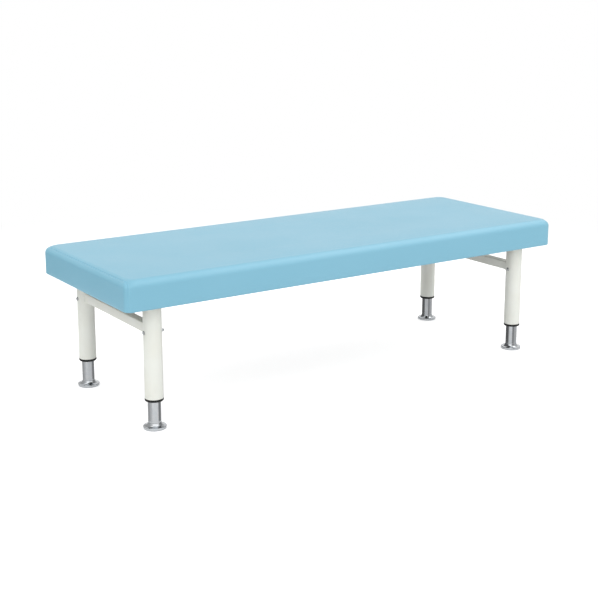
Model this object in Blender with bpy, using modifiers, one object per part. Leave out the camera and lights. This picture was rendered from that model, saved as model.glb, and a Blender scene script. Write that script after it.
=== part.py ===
"""Examination table: an upholstered top on two leg frames, with four legs that set its height.

Metres, +Z up. The table's length runs along X and its width along Y. The origin is on the floor
under the middle of the top. Left is -X, right is +X, front is -Y and back is +Y. The legs are
drawn out to the highest setting, as they stand at rest.
"""

import math

import bmesh
import bpy
from mathutils import Matrix, Vector

MM = 0.001

# The whole table
table_length = 1800 * MM
table_width = 650 * MM
table_height = 515 * MM
leg_end_inset = 121 * MM
leg_side_inset = 70 * MM
leg_travel = 65 * MM

# Clearances between pieces that touch or slide
seat_gap = 0.3 * MM
sliding_gap = 0.3 * MM
overrun = 5 * MM

# Upholstered top
pad_thickness = 103 * MM
pad_corner_radius = 22 * MM
pad_edge_radius = 26 * MM
pad_bottom_radius = 3.5 * MM
pad_crown = 2.5 * MM
crown_reach = 150 * MM
cover_thickness = 1.2 * MM
hem_width = 34 * MM
dust_cover_thickness = 0.6 * MM
dust_cover_inset = 20 * MM
crown_step_shares = ((1.0, 0.0), (0.55, 0.22), (0.2, 0.66))

# Wooden base of the top
deck_thickness = 9 * MM
frame_height = 26 * MM
frame_rail_width = 40 * MM
leg_board_width = 110 * MM
batten_width = 40 * MM
batten_spacing = 520 * MM

# Leg frames: painted tubes, cross rails and mount bars
leg_tube_radius = 30.25 * MM
leg_tube_wall = 2.3 * MM
leg_tube_bottom = 102.6 * MM
cross_rail_side = 32 * MM
cross_rail_wall = 1.6 * MM
cross_rail_corner = 3 * MM
cross_rail_drop = 78 * MM
mount_bar_width = 65 * MM
mount_bar_thickness = 4.5 * MM
mount_bar_overhang = 36 * MM
mount_bar_corner = 8 * MM

# Screws from the mount bars into the leg boards
mount_screw_radius = 4 * MM
mount_screw_length = 27 * MM
mount_screw_head_across = 13 * MM
mount_screw_head_height = 5.3 * MM
mount_screw_flange_radius = 8.5 * MM
mount_screw_flange_height = 1.4 * MM
mount_screw_spacing_x = 40 * MM
mount_screw_near_gap = 150 * MM
mount_screw_far_gap = 60 * MM
mount_screw_point_share = 0.35

# Bolt and cap nut that hold a leg at its height
height_bolt_drop = 85 * MM
height_bolt_radius = 3 * MM
height_bolt_head_radius = 5.6 * MM
height_bolt_head_height = 3.4 * MM
height_bolt_flange_radius = 6.8 * MM
height_bolt_flange_height = 1.0 * MM
height_bolt_socket_across = 4 * MM
height_bolt_socket_depth = 2.2 * MM
cap_nut_across = 10 * MM
cap_nut_hex_height = 5.5 * MM
cap_nut_dome_radius = 4.6 * MM
cap_nut_height = 11.5 * MM
cap_nut_flange_radius = 6.8 * MM
cap_nut_flange_height = 1.2 * MM
cap_nut_thread_depth = 8 * MM

# Plastic collar and sleeve at the bottom of the painted tube
collar_radius = 30.6 * MM
collar_height = 8.5 * MM
collar_chamfer = 2.4 * MM
collar_top_round = 0.8 * MM
sleeve_length = 60 * MM

# Chrome inner tube
inner_tube_radius = 21.35 * MM
inner_tube_wall = 2.3 * MM
inner_tube_end_land = 7.5 * MM
slot_round_share = 0.98

# Plastic guide on top of the inner tube
guide_height = 6 * MM
guide_spigot_length = 5 * MM
guide_vent_radius = 10 * MM
guide_chamfer = 1 * MM

# Chrome foot
foot_radius = 37.75 * MM
foot_rim_height = 9 * MM
foot_lift = 1 * MM
foot_flare_height = 12 * MM
foot_edge_round = 1.5 * MM
foot_spigot_length = 26 * MM
foot_wall = 3 * MM
foot_recess_depth = 2.4 * MM
foot_bore_radius = 6 * MM

# Rubber sole
sole_radius = 32.5 * MM
sole_chamfer = 0.6 * MM
sole_stud_radius = 5.4 * MM
sole_stud_length = 9 * MM

# How finely curves are divided
tube_steps = 36
turned_steps = 28
hidden_steps = 24
small_steps = 12
corner_steps = 5
edge_steps = 5
flare_steps = 4
dome_steps = 3
quarter_turn = 90

# Places that follow from the sizes above
pad_bottom = table_height - pad_thickness
leg_x = table_length / 2 - leg_end_inset
leg_y = table_width / 2 - leg_side_inset
wood_inset = cover_thickness + seat_gap
wood_bottom = pad_bottom + cover_thickness + seat_gap
wood_half_x = table_length / 2 - wood_inset
wood_half_y = table_width / 2 - wood_inset
wood_corner_radius = pad_corner_radius - wood_inset
wood_chamfer = max(pad_bottom_radius - wood_inset, 0)
deck_bottom = wood_bottom + frame_height + seat_gap
foam_bottom = deck_bottom + deck_thickness + seat_gap
dust_cover_bottom = pad_bottom - seat_gap - dust_cover_thickness
mount_bar_bottom = dust_cover_bottom - seat_gap - mount_bar_thickness
leg_tube_top = mount_bar_bottom - seat_gap
leg_tube_bore = leg_tube_radius - leg_tube_wall
cross_rail_height = leg_tube_top - cross_rail_drop
height_bolt_height = leg_tube_top - height_bolt_drop
mount_screw_near_y = leg_y - mount_screw_near_gap
mount_screw_far_y = leg_y - mount_screw_far_gap
collar_bottom = leg_tube_bottom - seat_gap - collar_height
inner_tube_bore = inner_tube_radius - inner_tube_wall
slot_half_width = height_bolt_radius + sliding_gap
inner_tube_top = height_bolt_height + slot_half_width + inner_tube_end_land
foot_top = foot_lift + foot_rim_height + foot_flare_height
inner_tube_bottom = foot_top + seat_gap

legs = {
    "front_left": (-1, -1),
    "front_right": (1, -1),
    "back_left": (-1, 1),
    "back_right": (1, 1),
}
ends = {"left": -1, "right": 1}
sides = {"front": -1, "back": 1}


def clear_scene():
    for obj in list(bpy.data.objects):
        bpy.data.objects.remove(obj)
    for name in ("examination_table", "cutters"):
        collection = bpy.data.collections.new(name)
        bpy.context.scene.collection.children.link(collection)


def make_material(name, color, roughness, metallic=0.0):
    material = bpy.data.materials.new(name)
    material.use_nodes = True
    shader = material.node_tree.nodes["Principled BSDF"]
    shader.inputs["Base Color"].default_value = (*color, 1)
    shader.inputs["Roughness"].default_value = roughness
    shader.inputs["Metallic"].default_value = metallic
    material.diffuse_color = (*color, 1)
    return material


def make_empty(name, location):
    empty = bpy.data.objects.new(name, None)
    empty.location = location
    bpy.data.collections["examination_table"].objects.link(empty)
    return empty


def add_object(name, mesh, location=(0, 0, 0), rotation=(0, 0, 0), material=None, parent=None):
    """Links a mesh as one piece of the table, at a place given in the table's own frame."""
    obj = bpy.data.objects.new(name, mesh)
    obj.location = location
    obj.rotation_euler = rotation
    if material:
        mesh.materials.append(material)
    bpy.data.collections["examination_table"].objects.link(obj)
    if parent:
        obj.parent = parent
        obj.location = Vector(location) - parent.location
    return obj


def add_cutter(name, mesh, location=(0, 0, 0), rotation=(0, 0, 0)):
    cutter = bpy.data.objects.new(name, mesh)
    cutter.location = location
    cutter.rotation_euler = rotation
    cutter.hide_render = True
    cutter.display_type = "WIRE"
    bpy.data.collections["cutters"].objects.link(cutter)
    return cutter


def boolean(obj, cutter, operation="DIFFERENCE"):
    modifier = obj.modifiers.new(cutter.name, "BOOLEAN")
    modifier.operation = operation
    modifier.solver = "EXACT"
    modifier.object = cutter


def finish_mesh(bm, name, smooth_angle=None):
    mesh = bpy.data.meshes.new(name)
    bm.to_mesh(mesh)
    bm.free()
    if smooth_angle is not None:
        mesh.shade_smooth()
        mesh.set_sharp_from_angle(angle=smooth_angle)
    return mesh


def box_mesh(name, size, chamfer=0.0, corner=0.0, corner_pick=None):
    """A box centred on its origin. Vertical edges can be rounded, all of them or those that are picked."""
    bm = bmesh.new()
    bmesh.ops.create_cube(bm, size=1, matrix=Matrix.Diagonal((*size, 1)))
    if corner:
        upright = [e for e in bm.edges if abs(e.verts[0].co.z - e.verts[1].co.z) > size[2] / 2]
        if corner_pick:
            upright = [e for e in upright if corner_pick(e.verts[0].co)]
        bmesh.ops.bevel(bm, geom=upright, offset=corner, segments=corner_steps, profile=0.5, affect="EDGES")
    if chamfer:
        flat = [e for e in bm.edges if abs(e.verts[0].co.z - e.verts[1].co.z) < size[2] / 2]
        bmesh.ops.bevel(bm, geom=flat, offset=chamfer, segments=1, affect="EDGES")
    return finish_mesh(bm, name)


def cylinder_mesh(name, radius, length, steps):
    bm = bmesh.new()
    bmesh.ops.create_cone(bm, cap_ends=True, segments=steps, radius1=radius, radius2=radius, depth=length)
    return finish_mesh(bm, name)


def hexagon_mesh(name, across, length):
    """A hexagonal prism along Z, centred on its origin, measured across its flats."""
    return cylinder_mesh(name, across / 2 / math.cos(math.pi / 6), length, 6)


def add_screw(obj, steps):
    screw = obj.modifiers.new("turn", "SCREW")
    screw.angle = 2 * math.pi
    screw.steps = steps
    screw.render_steps = steps
    screw.use_merge_vertices = True
    screw.merge_threshold = 0.01 * MM
    screw.use_smooth_shade = True


def turned(name, profile, steps, closed=True, cutter=False, **place):
    """A piece turned round Z from (radius, height) points that run down its outer side."""
    count = len(profile)
    edges = [(i, i + 1) for i in range(count - 1)]
    if closed:
        edges.append((count - 1, 0))
    mesh = bpy.data.meshes.new(name)
    mesh.from_pydata([(radius, 0, height) for radius, height in profile], edges, [])
    obj = add_cutter(name, mesh, **place) if cutter else add_object(name, mesh, **place)
    add_screw(obj, steps)
    return obj


def arc(centre, radius, start, end, steps):
    """Points (across, up) on an arc, angles in degrees, both ends included."""
    angles = [math.radians(start + (end - start) * i / steps) for i in range(steps + 1)]
    return [(centre[0] + radius * math.cos(a), centre[1] + radius * math.sin(a)) for a in angles]


def dome(radius, base, rise):
    """(radius, height) points of a dome, from its top down to its base."""
    angles = [math.pi / 2 * i / dome_steps for i in range(dome_steps + 1)]
    return [(radius * math.sin(a), base + rise * math.cos(a)) for a in angles]


def rounded_ring(half_x, half_y, radius, height):
    """A rounded rectangle at one height, counter-clockwise from above."""
    points = []
    for quarter, (sx, sy) in enumerate(((1, 1), (-1, 1), (-1, -1), (1, -1))):
        centre = (sx * (half_x - radius), sy * (half_y - radius))
        start = quarter_turn * quarter
        for x, y in arc(centre, radius, start, start + quarter_turn, corner_steps):
            points.append((x, y, height))
    return points


def loft(name, rings):
    """A closed skin through rings of equal count, with a flat face at the first and the last ring.
    It faces out when the rings run from the top down the outer side."""
    bm = bmesh.new()
    loops = [[bm.verts.new(point) for point in ring] for ring in rings]
    bm.faces.new(loops[0])
    bm.faces.new(reversed(loops[-1]))
    for upper, lower in zip(loops, loops[1:]):
        for i in range(len(upper)):
            j = (i + 1) % len(upper)
            bm.faces.new((upper[i], lower[i], lower[j], upper[j]))
    return finish_mesh(bm, name, math.radians(40))


def pad_ring(inset, height, depth=0.0):
    """The pad's outline drawn in by inset. Depth is how far the ring lies inside the cover's outer face."""
    radius = pad_corner_radius - depth
    return rounded_ring(table_length / 2 - inset, table_width / 2 - inset, radius, height)


def pad_top_profile(depth):
    """(inset, height) points over the crown and the rounded top edge, depth inside the cover's face."""
    shoulder = table_height - pad_crown
    points = []
    for reach_share, drop_share in crown_step_shares:
        points.append((pad_edge_radius + crown_reach * reach_share, table_height - pad_crown * drop_share - depth))
    centre = (pad_edge_radius, shoulder - pad_edge_radius)
    edge = arc(centre, pad_edge_radius - depth, 90, 180, edge_steps)
    return points + edge


def pad_cover_profile(depth):
    centre = (pad_bottom_radius, pad_bottom + pad_bottom_radius)
    edge = arc(centre, pad_bottom_radius - depth, 180, 270, 2)
    return pad_top_profile(depth) + edge + [(hem_width, pad_bottom + depth)]


def make_pad_cover(material, parent):
    """The vinyl cover: a skin over the top and sides that turns under and ends in a stapled hem."""
    outer = [pad_ring(inset, height) for inset, height in pad_cover_profile(0.0)]
    inner = [pad_ring(inset, height, cover_thickness) for inset, height in pad_cover_profile(cover_thickness)]
    mesh = loft("pad_cover", outer + inner[::-1])
    return add_object("pad_cover", mesh, material=material, parent=parent)


def make_foam_core(material, parent):
    depth = cover_thickness + seat_gap
    profile = pad_top_profile(depth) + [(depth, foam_bottom)]
    mesh = loft("foam_core", [pad_ring(inset, height, depth) for inset, height in profile])
    return add_object("foam_core", mesh, material=material, parent=parent)


def make_wooden_base(material, parent):
    """Plywood deck on a frame of two side rails, two end rails, two leg boards and two battens."""
    mesh = box_mesh("deck_board", (2 * wood_half_x, 2 * wood_half_y, deck_thickness), corner=wood_corner_radius)
    place = {"material": material, "parent": parent}
    add_object("deck_board", mesh, (0, 0, deck_bottom + deck_thickness / 2), **place)
    middle = wood_bottom + frame_height / 2
    for side, sign in sides.items():
        size = (2 * wood_half_x, frame_rail_width, frame_height)
        mesh = box_mesh(side + "_rail", size, wood_chamfer, wood_corner_radius, lambda p: p.y * sign > 0)
        add_object(side + "_side_rail", mesh, (0, sign * (wood_half_y - frame_rail_width / 2), middle), **place)
    inner_length = 2 * (wood_half_y - frame_rail_width - seat_gap)
    crossings = {}
    for end, sign in ends.items():
        crossings[end + "_end_rail"] = (sign * (wood_half_x - frame_rail_width / 2), frame_rail_width)
        crossings[end + "_leg_board"] = (sign * leg_x, leg_board_width)
        crossings[end + "_batten"] = (sign * batten_spacing / 2, batten_width)
    for name, (x, width) in crossings.items():
        mesh = box_mesh(name, (width, inner_length, frame_height), chamfer=wood_chamfer)
        piece = add_object(name, mesh, (x, 0, middle), **place)
        if "leg_board" in name:
            drill_screw_holes(piece, name, x, wood_bottom - overrun, mount_screw_tip() + seat_gap)


def screw_places(x):
    """(x, y) of the four screws through the mount bar at x."""
    near = [(x + side * mount_screw_spacing_x / 2, -side * mount_screw_near_y) for side in (-1, 1)]
    far = [(x + side * mount_screw_spacing_x / 2, side * mount_screw_far_y) for side in (-1, 1)]
    return near + far


def mount_screw_seat():
    return mount_bar_bottom - seat_gap


def mount_screw_tip():
    return mount_screw_seat() + mount_screw_length


def drill_screw_holes(piece, name, x, low, high):
    """Cuts the four screw holes between two heights."""
    radius = mount_screw_radius + seat_gap
    for number, (hole_x, hole_y) in enumerate(screw_places(x)):
        mesh = cylinder_mesh(f"{name}_hole_{number}", radius, high - low, small_steps)
        boolean(piece, add_cutter(mesh.name, mesh, (hole_x, hole_y, (low + high) / 2)))


def make_dust_cover(material, parent):
    size = (
        table_length - 2 * dust_cover_inset,
        table_width - 2 * dust_cover_inset,
        dust_cover_thickness,
    )
    mesh = box_mesh("dust_cover", size)
    cover = add_object("dust_cover", mesh, (0, 0, dust_cover_bottom + dust_cover_thickness / 2),
                       material=material, parent=parent)
    for end, sign in ends.items():
        low = dust_cover_bottom - overrun
        drill_screw_holes(cover, "dust_cover_" + end, sign * leg_x, low, pad_bottom + overrun)


def make_mount_bar(end, sign, material, parent):
    """The flat steel bar on top of a pair of leg tubes."""
    size = (mount_bar_width, 2 * (leg_y + mount_bar_overhang), mount_bar_thickness)
    mesh = box_mesh(end + "_mount_bar", size, corner=mount_bar_corner)
    place = (sign * leg_x, 0, mount_bar_bottom + mount_bar_thickness / 2)
    bar = add_object(end + "_mount_bar", mesh, place, material=material, parent=parent)
    low = mount_bar_bottom - overrun
    drill_screw_holes(bar, end + "_mount_bar", sign * leg_x, low, mount_bar_bottom + mount_bar_thickness + overrun)


def make_mount_screw(name, x, y, material, parent):
    """A hexagon-head wood screw with a washer face, driven up into a leg board."""
    seat = mount_screw_seat()
    head = mount_screw_flange_height + mount_screw_head_height
    profile = [
        (0, mount_screw_length),
        (mount_screw_radius * mount_screw_point_share, mount_screw_length),
        (mount_screw_radius, mount_screw_length - 2 * mount_screw_radius),
        (mount_screw_radius, 0),
        (mount_screw_flange_radius, 0),
        (mount_screw_flange_radius, -mount_screw_flange_height),
        (0, -mount_screw_flange_height),
    ]
    screw = turned(name, profile, small_steps, closed=False, location=(x, y, seat), material=material, parent=parent)
    mesh = hexagon_mesh(name + "_hexagon", mount_screw_head_across, head - mount_screw_flange_height / 2)
    height = seat - (head + mount_screw_flange_height / 2) / 2
    boolean(screw, add_cutter(mesh.name, mesh, (x, y, height)), "UNION")


def make_leg_tube(name, x, y, material, parent):
    """The painted tube of one leg, with a cross hole for the height bolt."""
    length = leg_tube_top - leg_tube_bottom
    profile = [
        (leg_tube_bore, length),
        (leg_tube_radius, length),
        (leg_tube_radius, 0),
        (leg_tube_bore, 0),
    ]
    tube = turned(name, profile, tube_steps, location=(x, y, leg_tube_bottom), material=material, parent=parent)
    hole_length = 2 * (leg_tube_radius + overrun)
    mesh = cylinder_mesh(name + "_bolt_hole", height_bolt_radius + seat_gap, hole_length, small_steps)
    boolean(tube, add_cutter(mesh.name, mesh, (x, y, height_bolt_height), (0, math.pi / 2, 0)))


def make_cross_rail(end, sign, material, parent):
    """The square tube between two legs, its ends coped to the round tubes."""
    name = end + "_cross_rail"
    inner = cross_rail_side - 2 * cross_rail_wall
    mesh = box_mesh(name, (cross_rail_side, cross_rail_side, 2 * leg_y), corner=cross_rail_corner)
    upright = (math.pi / 2, 0, 0)
    centre = (sign * leg_x, 0, cross_rail_height)
    rail = add_object(name, mesh, centre, upright, material, parent)
    bore = box_mesh(name + "_bore", (inner, inner, 2 * (leg_y + overrun)))
    boolean(rail, add_cutter(bore.name, bore, centre, upright))
    for side, side_sign in sides.items():
        radius = leg_tube_radius + seat_gap
        cope = cylinder_mesh(f"{name}_cope_{side}", radius, cross_rail_side + 2 * overrun, tube_steps)
        boolean(rail, add_cutter(cope.name, cope, (sign * leg_x, side_sign * leg_y, cross_rail_height)))


def make_guide_bush(name, x, y, material, parent):
    """The black collar under the painted tube, with the sleeve that guides the inner tube."""
    bore = inner_tube_radius + sliding_gap
    sleeve = leg_tube_bore - seat_gap
    top = collar_height + seat_gap + sleeve_length
    profile = [
        (bore, top),
        (sleeve, top),
        (sleeve, collar_height),
        (collar_radius - collar_top_round, collar_height),
        (collar_radius, collar_height - collar_top_round),
        (collar_radius, collar_chamfer),
        (collar_radius - collar_chamfer, 0),
        (bore, 0),
    ]
    turned(name, profile, turned_steps, location=(x, y, collar_bottom), material=material, parent=parent)


def make_height_bolt(name, x, y, material, parent):
    """A flanged button-head bolt along X, its head on the left side of the leg."""
    reach = leg_tube_radius + seat_gap
    length = 2 * reach + cap_nut_thread_depth
    head = dome(height_bolt_head_radius, height_bolt_flange_height, height_bolt_head_height)
    profile = head + [
        (height_bolt_flange_radius, height_bolt_flange_height / 2),
        (height_bolt_flange_radius, 0),
        (height_bolt_radius, 0),
        (height_bolt_radius, -length),
        (0, -length),
    ]
    turn = (0, -math.pi / 2, 0)
    place = (x - reach, y, height_bolt_height)
    bolt = turned(name, profile, small_steps, closed=False, location=place, rotation=turn,
                  material=material, parent=parent)
    top = height_bolt_flange_height + height_bolt_head_height
    depth = height_bolt_socket_depth + overrun
    socket = hexagon_mesh(name + "_socket", height_bolt_socket_across, depth)
    socket_x = x - reach - top + height_bolt_socket_depth - depth / 2
    boolean(bolt, add_cutter(socket.name, socket, (socket_x, y, height_bolt_height), turn))


def make_cap_nut(name, x, y, material, parent):
    """A flanged cap nut on the right end of the height bolt, with a blind hole."""
    hole = height_bolt_radius + seat_gap
    corner = cap_nut_across / 2 / math.cos(math.pi / 6)
    dome_rise = cap_nut_height - cap_nut_hex_height
    outside = dome(cap_nut_dome_radius, cap_nut_hex_height, dome_rise) + [
        (corner, cap_nut_hex_height - (corner - cap_nut_dome_radius) / 2),
        (corner, cap_nut_flange_height),
        (cap_nut_flange_radius, cap_nut_flange_height / 2),
        (cap_nut_flange_radius, 0),
        (hole, 0),
        (hole, cap_nut_thread_depth + seat_gap),
        (0, cap_nut_thread_depth + seat_gap),
    ]
    turn = (0, math.pi / 2, 0)
    place = (x + leg_tube_radius + seat_gap, y, height_bolt_height)
    nut = turned(name, outside, small_steps, closed=False, location=place, rotation=turn,
                 material=material, parent=parent)
    trim_profile = [
        (corner, cap_nut_height + overrun),
        (corner + overrun, cap_nut_height + overrun),
        (corner + overrun, cap_nut_flange_height),
        (corner, cap_nut_flange_height),
    ]
    trim = turned(name + "_trim", trim_profile, 6, cutter=True, location=place, rotation=turn)
    boolean(nut, trim)


def make_inner_tube(name, x, y, material, parent):
    """The chrome tube that slides in a leg, slotted for the height bolt over its whole travel."""
    length = inner_tube_top - inner_tube_bottom
    profile = [
        (inner_tube_bore, length),
        (inner_tube_radius, length),
        (inner_tube_radius, 0),
        (inner_tube_bore, 0),
    ]
    place = (x, y, inner_tube_bottom)
    tube = turned(name, profile, turned_steps, location=place, material=material, parent=parent)
    width = 2 * slot_half_width
    slot_size = (width, leg_travel + width, 2 * (inner_tube_radius + overrun))
    slot = box_mesh(name + "_slot", slot_size, corner=slot_half_width * slot_round_share)
    slot_place = (x, y, height_bolt_height - leg_travel / 2)
    boolean(tube, add_cutter(slot.name, slot, slot_place, (math.pi / 2, 0, math.pi / 2)))


def make_top_guide(name, x, y, material, parent):
    """The plastic guide on top of the inner tube. It runs in the painted tube's bore."""
    outer = leg_tube_bore - sliding_gap
    spigot = inner_tube_bore - seat_gap
    profile = [
        (guide_vent_radius, guide_height),
        (outer - guide_chamfer, guide_height),
        (outer, guide_height - guide_chamfer),
        (outer, 0),
        (spigot, 0),
        (spigot, -guide_spigot_length),
        (guide_vent_radius, -guide_spigot_length),
    ]
    place = (x, y, inner_tube_top + seat_gap)
    turned(name, profile, hidden_steps, location=place, material=material, parent=parent)


def foot_profile():
    """Section of the foot: a hollow spigot, a trumpet flare, a rim, and a recess for the sole."""
    spigot = inner_tube_bore - seat_gap
    rim_top = foot_lift + foot_rim_height
    flare_reach = foot_radius - foot_edge_round - inner_tube_radius
    flare = [
        (inner_tube_radius + flare_reach * (1 - math.cos(a)), foot_top - foot_flare_height * math.sin(a))
        for a in (math.radians(quarter_turn * i / flare_steps) for i in range(flare_steps + 1))
    ]
    recess = sole_radius + seat_gap
    recess_top = foot_lift + foot_recess_depth
    return [
        (spigot - foot_wall, foot_top + foot_spigot_length),
        (spigot, foot_top + foot_spigot_length),
        (spigot, foot_top),
        *flare,
        (foot_radius, rim_top - foot_edge_round),
        (foot_radius, foot_lift + foot_edge_round),
        (foot_radius - foot_edge_round, foot_lift),
        (recess, foot_lift),
        (recess, recess_top),
        (foot_bore_radius, recess_top),
        (foot_bore_radius, rim_top),
        (spigot - foot_wall, rim_top),
    ]


def make_foot(name, x, y, material, parent):
    turned(name, foot_profile(), turned_steps, location=(x, y, 0), material=material, parent=parent)


def make_sole(name, x, y, material, parent):
    """The rubber disc in the foot's recess, with the stud that plugs into the foot's bore."""
    top = foot_lift + foot_recess_depth - seat_gap
    profile = [
        (0, top + sole_stud_length),
        (sole_stud_radius - sole_chamfer, top + sole_stud_length),
        (sole_stud_radius, top + sole_stud_length - sole_chamfer),
        (sole_stud_radius, top),
        (sole_radius, top),
        (sole_radius, sole_chamfer),
        (sole_radius - sole_chamfer, 0),
        (0, 0),
    ]
    turned(name, profile, hidden_steps, closed=False, location=(x, y, 0), material=material, parent=parent)


def make_top(materials, table):
    make_pad_cover(materials["vinyl"], table)
    make_foam_core(materials["foam"], table)
    make_wooden_base(materials["wood"], table)
    make_dust_cover(materials["dust_cover"], table)


def make_leg_frames(materials, table):
    for end, sign in ends.items():
        make_mount_bar(end, sign, materials["paint"], table)
        make_cross_rail(end, sign, materials["paint"], table)
        for number, (x, y) in enumerate(screw_places(sign * leg_x), 1):
            make_mount_screw(f"{end}_mount_screw_{number}", x, y, materials["zinc"], table)


def make_leg(name, sx, sy, materials, table):
    """One leg: what is fixed to the table, and what slides in and out of it."""
    x, y = sx * leg_x, sy * leg_y
    make_leg_tube(name + "_leg_tube", x, y, materials["paint"], table)
    make_guide_bush(name + "_guide_bush", x, y, materials["plastic"], table)
    make_height_bolt(name + "_height_bolt", x, y, materials["zinc"], table)
    make_cap_nut(name + "_cap_nut", x, y, materials["zinc"], table)
    slide = make_empty(name + "_leg_slide", (x, y, 0))
    make_inner_tube(name + "_inner_tube", x, y, materials["chrome"], slide)
    make_top_guide(name + "_top_guide", x, y, materials["plastic"], slide)
    make_foot(name + "_foot", x, y, materials["chrome"], slide)
    make_sole(name + "_sole", x, y, materials["rubber"], slide)


def main():
    clear_scene()
    materials = {
        "vinyl": make_material("vinyl", (0.31, 0.62, 0.76), 0.45),
        "foam": make_material("foam", (0.85, 0.82, 0.62), 0.95),
        "wood": make_material("wood", (0.62, 0.46, 0.28), 0.7),
        "dust_cover": make_material("dust_cover", (0.05, 0.05, 0.05), 0.95),
        "paint": make_material("paint", (0.80, 0.79, 0.72), 0.35),
        "plastic": make_material("plastic", (0.02, 0.02, 0.02), 0.45),
        "zinc": make_material("zinc", (0.55, 0.55, 0.56), 0.35, 1.0),
        "chrome": make_material("chrome", (0.80, 0.81, 0.83), 0.08, 1.0),
        "rubber": make_material("rubber", (0.03, 0.03, 0.03), 0.8),
    }
    table = make_empty("table", (0, 0, 0))
    make_top(materials, table)
    make_leg_frames(materials, table)
    for name, (sx, sy) in legs.items():
        make_leg(name, sx, sy, materials, table)


main()
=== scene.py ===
import math
from functools import partial

import bmesh
import bpy
import numpy as np
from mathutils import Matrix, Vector


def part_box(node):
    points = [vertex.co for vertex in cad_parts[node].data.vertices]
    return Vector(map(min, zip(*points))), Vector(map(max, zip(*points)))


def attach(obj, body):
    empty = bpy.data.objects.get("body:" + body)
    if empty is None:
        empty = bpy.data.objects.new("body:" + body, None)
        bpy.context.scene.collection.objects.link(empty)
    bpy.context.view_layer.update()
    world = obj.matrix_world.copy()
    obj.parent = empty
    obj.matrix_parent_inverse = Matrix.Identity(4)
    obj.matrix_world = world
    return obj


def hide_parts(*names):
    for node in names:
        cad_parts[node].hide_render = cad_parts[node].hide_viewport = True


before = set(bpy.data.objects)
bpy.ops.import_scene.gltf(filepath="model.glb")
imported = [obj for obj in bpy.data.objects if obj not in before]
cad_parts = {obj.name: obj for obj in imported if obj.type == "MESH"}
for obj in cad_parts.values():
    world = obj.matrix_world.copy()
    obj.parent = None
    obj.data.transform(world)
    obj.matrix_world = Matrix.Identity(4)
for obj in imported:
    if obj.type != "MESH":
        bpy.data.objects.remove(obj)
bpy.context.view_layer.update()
mm = 0.001
fullTurn = 2 * math.pi
endSigns = {"left": -1, "right": 1}
legNames = ("front_left", "front_right", "back_left", "back_right")


def middleOf(node):
    low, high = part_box(node)
    return (low + high) / 2


def axisOf(node):  # the place on the floor below the middle of an upright piece
    middle = middleOf(node)
    return middle.x, middle.y, 0


def camel(words):  # makes frontLeftFoot of front_left_foot
    first, *others = words.split("_")
    return first + "".join(word.capitalize() for word in others)


# sRGB hex to linear: c / 12.92 up to 0.04045, and above it ((c + 0.055) / 1.055) to the power 2.4.
def linear(hexColour):
    values = np.array([int(hexColour[i:i + 2], 16) / 255 for i in (1, 3, 5)])
    curved = ((values + 0.055) / 1.055) ** 2.4
    return (*np.where(values <= 0.04045, values / 12.92, curved), 1.0)


# The inputs of a pattern whose features are this many millimetres wide.
def patternAt(place, sizeInMm, **others):
    return {"Vector": place, "Scale": 1000 / sizeInMm, **others}


# Adds one node. An input takes a value, or the socket or node (by its first output) that feeds it.
def addNode(tree, kind, inputs=None, **settings):
    made = tree.nodes.new("ShaderNode" + kind)
    for key, value in settings.items():
        setattr(made, key, value)
    for key, value in (inputs or {}).items():
        source = value.outputs[0] if isinstance(value, bpy.types.Node) else value
        if isinstance(source, bpy.types.NodeSocket):
            tree.links.new(source, made.inputs[key])
        else:
            made.inputs[key].default_value = source
    return made


def emptied(tree):  # takes all nodes out of a tree, and returns what adds nodes to it
    tree.nodes.clear()
    return partial(addNode, tree)


# A new, empty material. Returns it, what adds nodes to it, and the place on the object, in metres.
def startMaterial(name, colour):
    material = bpy.data.materials.new(name)
    material.diffuse_color = linear(colour)
    material.use_nodes = True
    add = emptied(material.node_tree)
    return material, add, add("TexCoord").outputs["Object"]


# Ends a material: its look's tints mixed by a share, a relief as deep as the look says, over a coarser one
# if there is one, and the shader's other inputs.
def endMaterial(material, look, share, relief, inputs=None, under=None):
    add = partial(addNode, material.node_tree)
    first, second = map(linear, look["tints"])
    colour = add("Mix", {0: share, 6: first, 7: second}, data_type="RGBA").outputs[2]
    bump = add("Bump", {"Height": relief, "Distance": look["reliefDepth"] * mm, **(under or {})})
    inputs = {"Base Color": colour, "Normal": bump, **look["plain"], **(inputs or {})}
    add("OutputMaterial", {"Surface": add("BsdfPrincipled", inputs)})
    return material


# In every look sizes are in mm, and "plain" holds the values that stay even over the whole surface.
smooth = {"interpolation_type": "SMOOTHSTEP"}
noiseSpan = {"From Min": 0.3, "From Max": 0.7}  # noise seldom leaves this span, so it is stretched to all

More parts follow.
